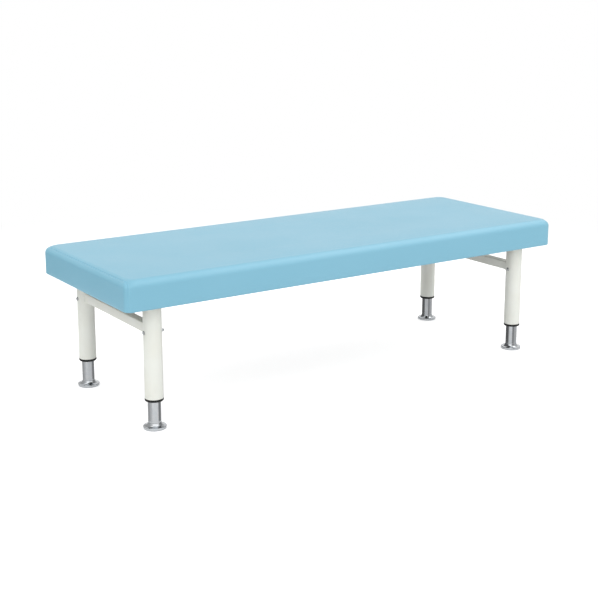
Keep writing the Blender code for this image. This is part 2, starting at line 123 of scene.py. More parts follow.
# Finishes whose tint and gloss drift together in soft patches over a fine relief.
finishes = {
    # Off-white polyester powder coat, baked on steel: a semi-gloss skin with the low waves of orange peel.
    "bakedPowderCoat": {
        "tints": ("#E9EBE4", "#E6E7DE"), "roughness": (0.30, 0.38), "patch": 90, "patchDetail": 3.0,
        "relief": 2.6, "reliefDetail": 1.0, "reliefDepth": 0.07, "stretch": (1, 1, 1),
        "plain": {"IOR": 1.5},
    },
    # Bright chrome plate on polished steel: a clear mirror with faint polishing lines and a thin haze.
    "brightChromePlate": {
        "tints": ("#C4C6C8", "#BDC1C5"), "roughness": (0.13, 0.18), "patch": 14, "patchDetail": 4.0,
        "relief": 0.5, "reliefDetail": 2.0, "reliefDepth": 0.002, "stretch": (0.02, 0.02, 1),
        "plain": {"Metallic": 1.0},
    },
    # Bright zinc plate on turned and forged fasteners: a soft grey metal, a little blotchy.
    "brightZincPlate": {
        "tints": ("#B2B4B5", "#9EA1A3"), "roughness": (0.28, 0.42), "patch": 3.5, "patchDetail": 4.0,
        "relief": 0.4, "reliefDetail": 3.0, "reliefDepth": 0.01, "stretch": (1, 1, 1),
        "plain": {"Metallic": 1.0},
    },
    # Black nylon, injection-moulded in a spark-eroded mould: near black and dull, with a fine even texture.
    "mouldedNylon": {
        "tints": ("#0D0D0E", "#141415"), "roughness": (0.45, 0.55), "patch": 9, "patchDetail": 3.0,
        "relief": 0.5, "reliefDetail": 2.0, "reliefDepth": 0.02, "stretch": (1, 1, 1),
        "plain": {"IOR": 1.53, "Specular IOR Level": 0.3},
    },
    # Black nitrile rubber, pressed: dull, with a dusty bloom and a fine pitted skin.
    "pressedRubber": {
        "tints": ("#191918", "#2B2A28"), "roughness": (0.72, 0.86), "patch": 7, "patchDetail": 4.0,
        "relief": 0.7, "reliefDetail": 2.0, "reliefDepth": 0.03, "stretch": (1, 1, 1),
        "plain": {"IOR": 1.52},
    },
}


def makeFinish(name):
    look = finishes[name]
    material, add, place = startMaterial(name, look["tints"][0])
    patches = patternAt(place, look["patch"], Detail=look["patchDetail"])
    share = add("MapRange", {"Value": add("TexNoise", patches), **noiseSpan}, **smooth)
    glossy, dull = look["roughness"]
    roughness = add("MapRange", {"Value": share, "To Min": glossy, "To Max": dull})
    drawn = add("Mapping", {"Vector": place, "Scale": look["stretch"]})
    relief = patternAt(drawn, look["relief"], Detail=look["reliefDetail"])
    return endMaterial(material, look, share, add("TexNoise", relief), {"Roughness": roughness})


vinylLook = {
    "tints": ("#80B9CF", "#7DB7CD"),
    "roughness": (0.35, 0.39),
    "noises": {"cloud": (420, 1.0), "handled": (180, 2.0), "swell": (70, 1.0), "uneven": (3.1, 1.0),
               "pores": (0.6, 1.0)},  # each one's size and detail
    "swellDepth": 0.35,
    "grain": 1.7,
    "creaseShare": 0.22,
    "unevenReach": 0.9,
    "poreShare": 0.2,
    "reliefDepth": 0.09,
    "plain": {"IOR": 1.5},
}


# PVC upholstery cloth, calendered and lightly embossed: one even colour, a soft broad sheen, a fine leather
# grain of rounded cells with creases between them. The real grain is about 0.8 mm wide, too fine for the
# picture, so it is drawn twice as wide.
def makeVinyl():
    look = vinylLook
    material, add, place = startMaterial("calenderedVinyl", look["tints"][0])
    noise = {name: add("TexNoise", patternAt(place, size, Detail=detail))
             for name, (size, detail) in look["noises"].items()}
    share = add("MapRange", {"Value": noise["cloud"], **noiseSpan}, **smooth)
    glossy, dull = look["roughness"]
    handled = {"Value": noise["handled"], **noiseSpan, "To Min": glossy, "To Max": dull}
    roughness = add("MapRange", handled, **smooth)
    shift = {0: noise["uneven"].outputs["Color"], "Scale": look["unevenReach"] * mm}
    moved = {0: place, 1: add("VectorMath", shift, operation="SCALE")}
    moved = add("VectorMath", moved, operation="ADD")
    cells = add("TexVoronoi", patternAt(moved, look["grain"]), feature="DISTANCE_TO_EDGE")
    folds = add("MapRange", {"Value": cells, "From Max": look["creaseShare"]}, **smooth)
    pores = add("Math", {0: noise["pores"], 1: look["poreShare"]}, operation="MULTIPLY")
    grain = add("Math", {0: folds, 1: 1 - look["poreShare"], 2: pores}, operation="MULTIPLY_ADD")
    waves = add("Bump", {"Height": noise["swell"], "Distance": look["swellDepth"] * mm})
    return endMaterial(material, look, share, grain, {"Roughness": roughness}, {"Normal": waves})


dustClothLook = {
    "tints": ("#202122", "#3A3B3D"),
    "noises": {"fibres": (0.9, 5.0, 0.7), "cloud": (22, 4.0, 0.6)},  # each one's size, detail and roughness
    "feltSpan": (0.12, 0.38),
    "bondPitch": 1.6,
    "bondSpan": (0.12, 0.30),
    "reliefDepth": 0.1,
    "plain": {"Roughness": 0.92, "IOR": 1.49, "Sheen Weight": 0.15},
}


# Spun-bonded polypropylene: a matt black felt of fibres, pressed together in a lattice of small bond
# points, which gives a dull, slightly cloudy sheet.
def makeDustClothMaterial():
    look = dustClothLook
    material, add, place = startMaterial("spunBondedCloth", look["tints"][0])
    fibres, cloud = (add("TexNoise", patternAt(place, size, Detail=detail, Roughness=rough))
                     for size, detail, rough in look["noises"].values())
    low, high = look["feltSpan"]
    felt = add("Math", {0: fibres, 1: cloud}, operation="MULTIPLY")
    felt = add("MapRange", {"Value": felt, "From Min": low, "From Max": high}, **smooth)
    turned = add("Mapping", {"Vector": place, "Rotation": (0, 0, math.pi / 4)})
    bonds = patternAt(turned, look["bondPitch"], Randomness=0.0)
    bonds = add("TexVoronoi", bonds, voronoi_dimensions="2D")
    low, high = look["bondSpan"]
    dots = add("MapRange", {"Value": bonds, "From Min": low, "From Max": high}, **smooth)
    relief = add("Math", {0: dots, 1: fibres}, operation="ADD")
    return endMaterial(material, look, felt, relief)


# The foam's tints: painted shade in the cells' hollows, and the pale straw of their rims.
foamLook = {"tints": ("#CFC493", "#EFE7C4"), "cell": 1.1, "reliefDepth": 0.4, "plain": {"Roughness": 0.95}}


# Flexible polyurethane foam, cut from a block: pale straw and quite matt, with open cells about 1 mm wide.
# Painted shade fills each cell's hollow middle with the darker tint, and the rims keep the paler one.
def makeFoamMaterial():
    material, add, place = startMaterial("cutPolyurethaneFoam", foamLook["tints"][1])
    cells = add("TexVoronoi", patternAt(place, foamLook["cell"]))
    return endMaterial(material, foamLook, cells, cells)


woodLook = {
    "noises": {"rings": (9, 4.0, 0.62), "fibres": (1.1, 3.0, 0.5)},  # each one's size, detail and roughness
    "fibreShare": 0.25,
    "stretch": 0.04,  # the pattern's scale along the grain, as a share of the scale across it
    "reliefDepth": 0.12,
    "plain": {"Roughness": 0.7, "IOR": 1.5},
}


# Bare birch plywood and planed spruce: pale dry wood, whose rings and fibres run the length of the piece.
def makeWood(name, tints, grainAxis):
    look = {**woodLook, "tints": tints}
    material, add, place = startMaterial(name, tints[0])
    stretch = [1.0, 1.0, 1.0]
    stretch[grainAxis] = look["stretch"]
    drawn = add("Mapping", {"Vector": place, "Scale": stretch})
    rings, fibres = (add("TexNoise", patternAt(drawn, size, Detail=detail, Roughness=rough))
                     for size, detail, rough in look["noises"].values())
    fibres = add("Math", {0: fibres, 1: look["fibreShare"]}, operation="MULTIPLY")
    grain = add("Math", {0: rings, 1: 1 - look["fibreShare"], 2: fibres}, operation="MULTIPLY_ADD")
    share = add("MapRange", {"Value": grain, **noiseSpan}, **smooth)
    return endMaterial(material, look, share, grain)


# The thread's tints are the shaded and the lit side of a ply: painted shade and a painted highlight.
threadLook = {"tints": ("#7DB3C6", "#9FD0DF"), "twist": 1.4, "reliefDepth": 0.12,
              "plain": {"Roughness": 0.5, "IOR": 1.55}}


# Bonded polyester sewing thread, a shade paler than the vinyl: plies twisted along the stitch, raised by a
# bump, with painted shade and a painted highlight on each ply in turn, as the twist's wave mixes two tints.
def makeThread():
    material, add, _ = startMaterial("bondedPolyesterThread", threadLook["tints"][1])
    run = add("UVMap", uv_map="alongThread")
    waves = {"Vector": run, "Scale": 1.0, "Distortion": 0.0}
    plies = add("TexWave", waves, bands_direction="DIAGONAL").outputs["Fac"]
    return endMaterial(material, threadLook, plies, plies)


print("stage: materials")
surfaces = {  # the material of each surface, and the slot that it fills
    "vinyl": (makeVinyl(), "vinyl"),
    "thread": (makeThread(), "vinyl"),
    "foam": (makeFoamMaterial(), "foam"),
    "dustCloth": (makeDustClothMaterial(), "dust_cover"),
    "paint": (makeFinish("bakedPowderCoat"), "paint"),
    "chrome": (makeFinish("brightChromePlate"), "chrome"),
    "zinc": (makeFinish("brightZincPlate"), "zinc"),
    "plastic": (makeFinish("mouldedNylon"), "plastic"),
    "rubber": (makeFinish("pressedRubber"), "rubber"),
}


# Faces of a grid of rows and columns, four corners each. A wrapped direction closes on itself.
def gridFaces(rows, columns, wrapRows=False, wrapColumns=False):
    row = np.arange(rows if wrapRows else rows - 1)[:, None]
    column = np.arange(columns if wrapColumns else columns - 1)[None, :]
    nextRow, nextColumn = (row + 1) % rows, (column + 1) % columns
    corners = (row * columns + column, row * columns + nextColumn,
               nextRow * columns + nextColumn, nextRow * columns + column)
    return np.stack(np.broadcast_arrays(*corners), -1).reshape(-1, 4)


# Faces of a pillar: a grid whose rows are closed rings, with a flat face over its first and last ring.
def pillarFaces(rows, columns):
    first = list(range(columns))
    last = list(range((rows - 1) * columns, rows * columns))
    return gridFaces(rows, columns, wrapColumns=True).tolist() + [first[::-1], last]


def makeMesh(points, faces):
    mesh = bpy.data.meshes.new("mesh")
    faces = faces.tolist() if isinstance(faces, np.ndarray) else faces
    mesh.from_pydata(np.asarray(points, float).reshape(-1, 3), [], faces)
    return mesh


# Joins points that lie on each other, as at a pole, and turns every face of a closed skin outwards.
def closeUp(mesh, within=0.002 * mm):
    work = bmesh.new()
    work.from_mesh(mesh)
    bmesh.ops.remove_doubles(work, verts=work.verts, dist=within)
    bmesh.ops.recalc_face_normals(work, faces=work.faces)
    work.to_mesh(mesh)
    work.free()
    return mesh


def addToScene(name, data):
    data.name = name
    made = bpy.data.objects.new(name, data)
    bpy.context.scene.collection.objects.link(made)
    return made


def evaluatedMesh(holder):  # the holder's mesh with its modifiers applied
    bpy.context.view_layer.update()
    return bpy.data.meshes.new_from_object(holder.evaluated_get(bpy.context.evaluated_depsgraph_get()))


# Links a mesh as a piece of the table that rides on a body. It has the name of the CAD node that it stands
# for, in camel case, or its own.
def addPiece(mesh, surface, node="", name="", body="table", sharpDegrees=32):
    piece = addToScene(name or camel(node), mesh)
    material, slotName = surfaces[surface]
    mesh.materials.clear()
    mesh.materials.append(material)
    mesh.shade_smooth()
    mesh.set_sharp_from_angle(angle=math.radians(sharpDegrees))
    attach(piece, body)
    if node:
        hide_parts(node)
    return piece


# Rounds a profile, in mm. Its items are corners (radius, height, width across flats) or curves of such
# rows, which stay as they are. A corner's two sides are cut back by its rounding and joined by the curve
# (1-t)^2 A + 2t(1-t) V + t^2 B. Returns rows of radius, height and flats in metres.
def roundCorners(profile, roundings, steps, closed):
    items = [np.pad(np.atleast_2d(item).astype(float), ((0, 0), (0, 3 - np.shape(item)[-1])))
             for item in profile]
    left = iter(roundings)
    rows = []
    for i, item in enumerate(items):
        rounding = next(left, 0) if len(item) == 1 else 0
        if rounding == 0 or (not closed and i in (0, len(items) - 1)):
            rows.append(item)
            continue
        vertex, before, after = item[0, :2], items[i - 1][-1, :2], items[(i + 1) % len(items)][0, :2]
        start, end = (vertex + (beside - vertex) * rounding / np.linalg.norm(beside - vertex)
                      for beside in (before, after))
        t = np.linspace(0, 1, steps + 1)[:, None]
        curve = (1 - t) ** 2 * start + 2 * t * (1 - t) * vertex + t ** 2 * end
        rows.append(np.hstack([curve, np.full((steps + 1, 1), item[0, 2])]))
    return np.concatenate(rows) * mm


# A profile carried round an axis: x = radius cos(turn), y = radius sin(turn), z = height. Where a row has a
# width across flats, its radius goes no further than the hexagon's: half the width / cos(turn from the
# middle of a flat).
def turnedPoints(profile, steps):
    turn = np.arange(steps) * fullTurn / steps
    radius = profile[:, :1] * np.ones(steps)
    fromFlat = (turn + math.pi / 6) % (math.pi / 3) - math.pi / 6
    hexagon = profile[:, 2:3] / 2 / np.cos(fromFlat)
    radius = np.where(profile[:, 2:3] > 0, np.minimum(radius, hexagon), radius)
    return np.stack([radius * np.cos(turn), radius * np.sin(turn), profile[:, 1:2] * np.ones(steps)], -1)


axisTurns = {  # where a turned piece's own x, y and height point
    "up": ((1, 0, 0), (0, 1, 0), (0, 0, 1)),
    "down": ((1, 0, 0), (0, -1, 0), (0, 0, -1)),
    "left": ((0, 0, 1), (0, 1, 0), (-1, 0, 0)),
    "right": ((0, 0, -1), (0, 1, 0), (1, 0, 0)),
}


def turnedMesh(corners, roundings, steps, centre, axis="up", closed=False, roundSteps=4):
    profile = roundCorners(corners, roundings, roundSteps, closed)
    points = turnedPoints(profile, steps) @ np.array(axisTurns[axis], float) + np.array(centre)
    return closeUp(makeMesh(points, gridFaces(len(profile), steps, wrapRows=closed, wrapColumns=True)))


# Rows of a dome: radius * sin a wide, base + height * cos a high.
def domeRows(radius, base, height, degrees):
    a = np.radians(degrees)
    return np.stack([radius * np.sin(a), base + height * np.cos(a)], -1)


# Cuts a closed mesh out of another one, and gives back the result as a new mesh.
def cutOut(mesh, cutter):
    blank, tool = addToScene("blank", mesh), addToScene("tool", cutter)
    cut = blank.modifiers.new("cut", "BOOLEAN")
    cut.operation, cut.solver, cut.object = "DIFFERENCE", "EXACT", tool
    result = evaluatedMesh(blank)
    bpy.data.objects.remove(blank)
    bpy.data.objects.remove(tool)
    return result


# Outline of a rounded rectangle as unit values, counter-clockwise from the middle of the +X +Y corner:
# where the point lies along the straight sides (-1 to 1 each way) and its outward direction. Crowding draws
# steps to the corners.
def outlineUnits(stepsX, stepsY, cornerSteps, crowding=0.01):
    half = np.linspace(0, math.pi / 4, cornerSteps // 2 + 1)
    parts = []
    for side, steps in enumerate((stepsX, stepsY, stepsX, stepsY)):
        middle = (side + 1) * math.pi / 2
        inner = np.sin(np.linspace(1, -1, steps + 1)[1:-1] * crowding) / math.sin(crowding)
        along = np.concatenate([np.ones(len(half)), inner, -np.ones(len(half))])[:-1]
        turn = np.concatenate([middle - math.pi / 4 + half, np.full(steps - 1, middle), middle + half])[:-1]
        ones = np.ones(len(along))
        place = ((along, ones), (-ones, along), (-along, -ones), (ones, -along))[side]
        parts.append(np.stack([*place, np.cos(turn), np.sin(turn)]))
    return np.concatenate(parts, 1)


# The outline's points: centre of a corner arc, or a place on a straight side, plus radius * direction.
def outlinePoints(units, halfX, halfY, radius):
    halfX, halfY, radius = (np.asarray(v, float)[..., None] for v in (halfX, halfY, radius))
    return np.stack([units[0] * (halfX - radius) + radius * units[2],
                     units[1] * (halfY - radius) + radius * units[3]], -1)


# Flat outlines, one for each height, as rings of points.
def stackOutlines(flat, heights):
    return np.concatenate([flat, np.broadcast_to(heights[:, None, None], flat.shape[:2] + (1,))], -1)


def runAlong(path):  # distance along a line of points, from its first one
    return np.concatenate([[0], np.cumsum(np.linalg.norm(np.diff(path, axis=0), axis=1))])


def eased(t, most):  # rises smoothly from 0 to most as t goes from 0 to 1: most * t^2 * (3 - 2t)
    t = np.clip(t, 0, 1)
    return most * t * t * (3 - 2 * t)


# Rods laid one after another along a path, in one mesh. Along a rod u runs from 0 to 1, round it v makes
# one turn: point = path + normal * (lift * (1 - |2u-1|^4) - sink) + taper * (sideways * width cos v +
# normal * thickness sin v), with taper = square root of (1 - |2u-1|^6).
def rodRow(path, normals, shape):
    uSteps, vSteps = shape["steps"]
    run = runAlong(path)
    starts = np.arange(shape["start"], run[-1] - shape["length"], shape["pitch"])
    u = np.linspace(0, 1, uSteps + 1)
    at = starts[:, None] + u * shape["length"]
    centre, normal = (np.stack([np.interp(at, run, line[:, k]) for k in range(3)], -1)
                      for line in (path, normals))
    normal /= np.linalg.norm(normal, axis=-1, keepdims=True)
    sideways = np.cross(np.gradient(centre, axis=1), normal)
    sideways /= np.linalg.norm(sideways, axis=-1, keepdims=True)
    hump = 1 - np.abs(2 * u - 1) ** 4
    taper = np.sqrt(np.clip(1 - np.abs(2 * u - 1) ** 6, 0, 1))
    v = np.arange(vSteps) * fullTurn / vSteps
    ring = (sideways[:, :, None] * (shape["width"] * np.cos(v))[:, None]
            + normal[:, :, None] * (shape["thickness"] * np.sin(v))[:, None])
    middle = centre + normal * (shape["lift"] * hump - shape["sink"])[:, None]
    one = gridFaces(uSteps + 1, vSteps, wrapColumns=True)
    faces = (one[None] + (np.arange(len(starts)) * (uSteps + 1) * vSteps)[:, None, None]).reshape(-1, 4)
    mesh = makeMesh(middle[:, :, None] + ring * taper[:, None, None], faces)
    twists = at[:, :, None] / (threadLook["twist"] * mm)
    uv = np.stack(np.broadcast_arrays(twists, v / fullTurn), -1).reshape(-1, 2)
    corner = np.zeros(len(mesh.loops), np.int32)
    mesh.loops.foreach_get("vertex_index", corner)
    mesh.uv_layers.new(name="alongThread").data.foreach_set("uv", uv[corner].astype(np.float32).ravel())
    return closeUp(mesh)


padShape = {
    "cornerRadius": 22 * mm,
    "cornerGrowth": 0.45,  # how much rounder the outline gets as it goes over the edge
    "growthReach": 40 * mm,
    "edgeRadius": 26 * mm,
    "bottomRadius": 3.5 * mm,
    "crown": 2.5 * mm,
    "crownReach": 150 * mm,
    "hemWidth": 34 * mm,
    "coverThickness": 1.2 * mm,
    "slack": 1.2 * mm,  # the cover starts this much smaller, and the foam's push fills it
    "slackReach": 60 * mm,
    "foamHold": 0.5,  # the foam's hold on the cover, as a share of the hem's
    "leastSwell": -0.2 * mm,  # where the foam and the frame stop it, from its finished shape
    "mostSwell": 0.9 * mm,
    "fillFrames": 20,
}
padSteps = {
    "along": 76,
    "across": 50,
    "corner": 16,
    "crowding": 1.2,
    "hemRows": 2,
    "bottomRows": 4,
    "sideRows": 5,
    "edgeDegrees": (0, 8, 16, 24, 30, 34, 38, 42, 46, 50, 54, 58, 62, 70, 76, 83, 90),  # close by the seam
    "crownShares": (0.04, 0.1, 0.18, 0.27, 0.37, 0.47, 0.57, 0.66, 0.75, 0.83, 0.9, 0.95, 1.0),
}
clothFeel = {  # the cover as thin vinyl over foam, which pushes it out and holds it with weak springs
    "quality": 6,
    "mass": 0.3,
    "tension_stiffness": 40,
    "compression_stiffness": 40,
    "shear_stiffness": 20,
    "bending_stiffness": 2.0,
    "use_pressure": True,
    "uniform_pressure_force": 4.0,
    "pin_stiffness": 0.12,
}
seamShape = {
    "edgeShare": 0.56,  # how far up the rounded edge the end panel's seam runs
    "turnRadius": 13 * mm,
    "grooveDepth": 1.4 * mm,
    "grooveWidth": 1.5 * mm,
    "foldHeight": 0.5 * mm,
    "foldAway": 4.2 * mm,
    "foldWidth": 2.6 * mm,
    "rowAway": 7.5 * mm,
    "rowDepth": 0.55 * mm,
    "rowWidth": 1.3 * mm,
    "puckerHeight": 0.22 * mm,
    "puckerLength": 23 * mm,
    "puckerReach": 16 * mm,
    "puckerDrift": (1.3, 0.37),  # how far the puckers wander from an even beat, and how quickly
    "uprightShare": 0.5,  # down the corners the cover is tight, and the seam stands out this much less
    "uprightReach": 45 * mm,
}
padLow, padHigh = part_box("pad_cover")
padHalf = (padHigh - padLow) / 2
padShoulder = padHigh.z - padShape["crown"] - padShape["edgeRadius"]  # where the rounded edge starts


# Section of the cover from the hem's inner edge, round the bottom edge, up the side, over the rounded edge
# and along the crown: rows of inset and height, and the outward direction (across, up).
def coverProfile(depth=0.0):
    shape, steps = padShape, padSteps
    bottom, top = padLow.z, padHigh.z
    edge, low = shape["edgeRadius"], shape["bottomRadius"]
    hem = np.linspace(shape["hemWidth"], low, steps["hemRows"] + 1)[:-1]
    under = np.radians(np.linspace(270, 180, steps["bottomRows"]))
    side = np.linspace(bottom + low, padShoulder, steps["sideRows"] + 2)[1:-1]
    over = math.pi - np.radians(steps["edgeDegrees"])
    reach = np.array(steps["crownShares"])
    inset = [hem, low + (low - depth) * np.cos(under), np.full(len(side), depth),
             edge + (edge - depth) * np.cos(over), edge + shape["crownReach"] * reach]
    height = [np.full(len(hem), bottom + depth), bottom + low + (low - depth) * np.sin(under), side,
              padShoulder + (edge - depth) * np.sin(over), top - depth - shape["crown"] * (1 - reach) ** 2]
    tilt = [np.full(len(hem), math.pi * 1.5), under, np.full(len(side), math.pi), over,
            np.full(len(reach), math.pi / 2)]
    inset, height, tilt = map(np.concatenate, (inset, height, tilt))
    return inset, height, np.stack([-np.cos(tilt), np.sin(tilt)], -1)


# The outline's corner radius for each row: it grows with the inset over the edge.
def cornerRadii(inset, edgeStarts):
    grown = np.minimum(inset, padShape["growthReach"]) * (np.arange(len(inset)) > edgeStarts)
    return padShape["cornerRadius"] + padShape["cornerGrowth"] * grown


padInset, padHeight, padOut = coverProfile()
padRun = runAlong(np.stack([padInset, padHeight], -1))
heldRows = padSteps["hemRows"] + padSteps["bottomRows"]
edgeStart = heldRows + padSteps["sideRows"]
padRadius = cornerRadii(padInset, edgeStart)
seamRun = padRun[edgeStart] + seamShape["edgeShare"] * padShape["edgeRadius"] * math.pi / 2


# The cover before it is filled: the profile carried round the rounded outline, and the middle of the top
# filled with a grid whose inner points blend the four sides (each pair of sides in turn, less what both
# count twice). Returns the points, the faces, and two distances for each point: past the corner's middle on
# to the long side, and above the seam.
def coverGrid(mostSlack):
    units = outlineUnits(padSteps["along"], padSteps["across"], padSteps["corner"], padSteps["crowding"])
    slack = eased((padRun - padRun[heldRows - 1]) / padShape["slackReach"], mostSlack)
    flat = outlinePoints(units, padHalf.x - padInset - slack, padHalf.y - padInset - slack, padRadius)
    rings = stackOutlines(flat, padHeight - slack * np.maximum(padOut[:, 1], 0))
    nx, ny = padSteps["along"] + padSteps["corner"], padSteps["across"] + padSteps["corner"]
    count = 2 * (nx + ny)
    # distance along each ring from the nearest middle of a corner, counted negative on the two ends
    middles = np.array([0, nx, nx + ny, 2 * nx + ny, count])
    side = np.repeat(np.arange(4), (nx, ny, nx, ny))
    step = np.linalg.norm(np.roll(flat, -1, axis=1) - flat, axis=-1)
    run = np.pad(np.cumsum(step, 1), ((0, 0), (1, 0)))
    nearest = np.minimum(run[:, :-1] - run[:, middles[side]], run[:, middles[side + 1]] - run[:, :-1])
    aroundCorner = np.where(side % 2 == 0, nearest, -nearest)
    aboveSeam = (padRun - seamRun)[:, None] * np.ones(count)
    # the middle of the top: the border of its grid is the last ring
    index = np.zeros((nx + 1, ny + 1), int)
    index[:, 0] = np.arange(nx + 1)
    index[:, -1] = 2 * nx + ny - np.arange(nx + 1)
    index[0] = -np.arange(ny + 1) % count
    index[-1] = nx + np.arange(ny + 1)
    border = rings[-1][index]
    far, near, right, left = border[:, :1], border[:, -1:], border[:1], border[-1:]
    a, b = np.linspace(0, 1, nx + 1)[:, None, None], np.linspace(0, 1, ny + 1)[None, :, None]
    blend = ((1 - b) * far + b * near + (1 - a) * right + a * left
             - (1 - a) * (1 - b) * far[:1] - a * (1 - b) * far[-1:]
             - (1 - a) * b * near[:1] - a * b * near[-1:])
    inner = blend[1:-1, 1:-1].reshape(-1, 3)
    index += (len(rings) - 1) * count
    index[1:-1, 1:-1] = len(rings) * count + np.arange(len(inner)).reshape(nx - 1, ny - 1)
    top = np.stack([index[:-1, :-1], index[1:, :-1], index[1:, 1:], index[:-1, 1:]], -1).reshape(-1, 4)
    points = np.concatenate([rings.reshape(-1, 3), inner])
    faces = np.concatenate([gridFaces(len(rings), count, wrapColumns=True), top])
    beyond = np.full(len(inner), padShape["crownReach"])  # the seam has no part in the middle of the top
    distances = [np.concatenate([values.ravel(), beyond]) for values in (aroundCorner, aboveSeam)]
    return points, faces, *distances


def readPoints(mesh, normals=False):
    values = np.zeros(len(mesh.vertices) * 3, np.float32)
    if normals:
        mesh.vertex_normals.foreach_get("vector", values)
    else:
        mesh.vertices.foreach_get("co", values)
    return values.reshape(-1, 3).astype(float)


def writePoints(mesh, points):
    mesh.vertices.foreach_set("co", points.astype(np.float32).ravel())
    mesh.update()


# The foam pushes the cover out: pressure on the cloth, held at the hem and elsewhere by the foam's weak
# springs. What counts is each point's way past the finished shape, along its normal: not below the least,
# and above it most * tanh(way / most).
def fillCover(cover, held, finished):
    shape = padShape
    normals = readPoints(cover.data, normals=True)
    group = cover.vertex_groups.new(name="foamHold")
    group.add(list(range(len(finished))), shape["foamHold"], "REPLACE")
    group.add(list(range(held)), 1.0, "REPLACE")
    cloth = cover.modifiers.new("fill", "CLOTH")
    for key, value in clothFeel.items():
        setattr(cloth.settings, key, value)
    cloth.settings.vertex_group_mass = "foamHold"
    cloth.settings.effector_weights.gravity = 0
    cloth.collision_settings.use_collision = False
    for frameNumber in range(1, shape["fillFrames"] + 1):
        bpy.context.scene.frame_set(frameNumber)
    swollen = readPoints(evaluatedMesh(cover))
    cover.modifiers.remove(cloth)
    bpy.context.scene.frame_set(1)
    way = np.sum((swollen - finished) * normals, 1)
    most = shape["mostSwell"]
    capped = np.where(way < 0, np.maximum(way, shape["leastSwell"]), most * np.tanh(way / most))
    print("filled:", round(way.min() / mm, 2), "to", round(way.max() / mm, 2), "mm past its shape")
    return finished + normals * capped[:, None]


# Height of the cover near its end seams, from the distance d to the seam (below 0 on the end panel): a
# groove, a fold on each side of it, a dip along the row of stitches, and small puckers that die away from
# it, all flatter down the corners.
def seamHeight(points, aroundCorner, aboveSeam):
    shape = seamShape
    turn = shape["turnRadius"]
    a, b = aroundCorner + turn, aboveSeam + turn
    d = np.hypot(np.maximum(a, 0), np.maximum(b, 0)) + np.minimum(np.maximum(a, b), 0) - turn
    height = -shape["grooveDepth"] * np.exp(-(d / shape["grooveWidth"]) ** 2)
    height += shape["foldHeight"] * np.exp(-((np.abs(d) - shape["foldAway"]) / shape["foldWidth"]) ** 2)
    height -= shape["rowDepth"] * np.exp(-((d - shape["rowAway"]) / shape["rowWidth"]) ** 2)
    wave = (points[:, 1] + points[:, 2]) / shape["puckerLength"] * fullTurn
    drift, pace = shape["puckerDrift"]
    pucker = np.sin(wave + drift * np.sin(wave * pace)) * np.exp(-np.abs(d) / shape["puckerReach"])
    least = shape["uprightShare"]
    flatter = least + eased(1 + aboveSeam / shape["uprightReach"], 1 - least)
    return (height + shape["puckerHeight"] * pucker) * flatter


def makePadCover():
    points, faces, *distances = coverGrid(padShape["slack"])
    finished = coverGrid(0)[0]
    coarse = makeMesh(points, faces)
    distanceNames = ("aroundCorner", "aboveSeam")
    for name, values in zip(distanceNames, distances):
        layer = coarse.attributes.new(name, "FLOAT", "POINT")
        layer.data.foreach_set("value", values.astype(np.float32))
    work = addToScene("coverWork", coarse)
    columns = 2 * (padSteps["along"] + padSteps["across"] + 2 * padSteps["corner"])
    filled = fillCover(work, heldRows * columns, finished)
    writePoints(coarse, filled)
    innerPoints = filled - readPoints(coarse, normals=True) * padShape["coverThickness"]
    finer = work.modifiers.new("finer", "SUBSURF")
    finer.levels = finer.render_levels = 1
    fine = evaluatedMesh(work)
    bpy.data.objects.remove(work)
    finePoints = readPoints(fine)
    fineDistances = np.zeros((2, len(finePoints)), np.float32)
    for name, values in zip(distanceNames, fineDistances):
        fine.attributes[name].data.foreach_get("value", values)
        fine.attributes.remove(fine.attributes[name])
    height = seamHeight(finePoints, *fineDistances)
    writePoints(fine, finePoints + readPoints(fine, normals=True) * height[:, None])
    # the inner skin is the coarse one, drawn in by the cloth's thickness and joined at the hem's edge
    both = bmesh.new()
    both.from_mesh(fine)
    both.from_mesh(makeMesh(innerPoints, faces[:, ::-1]))
    bmesh.ops.bridge_loops(both, edges=[edge for edge in both.edges if edge.is_boundary])
    mesh = makeMesh([], [])
    both.to_mesh(mesh)
    both.free()
    piece = addPiece(mesh, "vinyl", "pad_cover", sharpDegrees=60)
    return piece


print("stage: padded top")
padCover = makePadCover()


# A point of the cover from its way round the end (s from the end's middle, in metres at that height) and
# its run up the profile: straight side, then an arc of the corner, then the long side. Returns the point
# and its outward direction.
def coverPlace(s, run, endSign):
    inset, height, radius, across, up = (np.interp(run, padRun, values) for values in
                                         (padInset, padHeight, padRadius, padOut[:, 0], padOut[:, 1]))
    straight = padHalf.y - inset - radius
    beyond = np.abs(s) - straight
    turn = np.clip(beyond / radius, 0, math.pi / 2)
    past = np.maximum(beyond - radius * math.pi / 2, 0)
    x = padHalf.x - inset - radius + radius * np.cos(turn) - past
    y = np.minimum(np.abs(s), straight) + radius * np.sin(turn)
    point = np.stack([endSign * x, np.sign(s) * y, height], -1)
    normal = np.stack([endSign * across * np.cos(turn), np.sign(s) * across * np.sin(turn), up], -1)
    return point, normal


stitchShape = {
    "pitch": 4.4 * mm,
    "length": 3.7 * mm,
    "width": 0.42 * mm,
    "thickness": 0.36 * mm,
    "lift": 0.62 * mm,
    "sink": 0.42 * mm,
    "start": 0.0,
    "steps": (6, 6),
    "firstHeight": 8 * mm,  # along the cover from the hem's edge
    "linePoints": (90, 24, 400),  # up a corner, round the bend, along the end
}


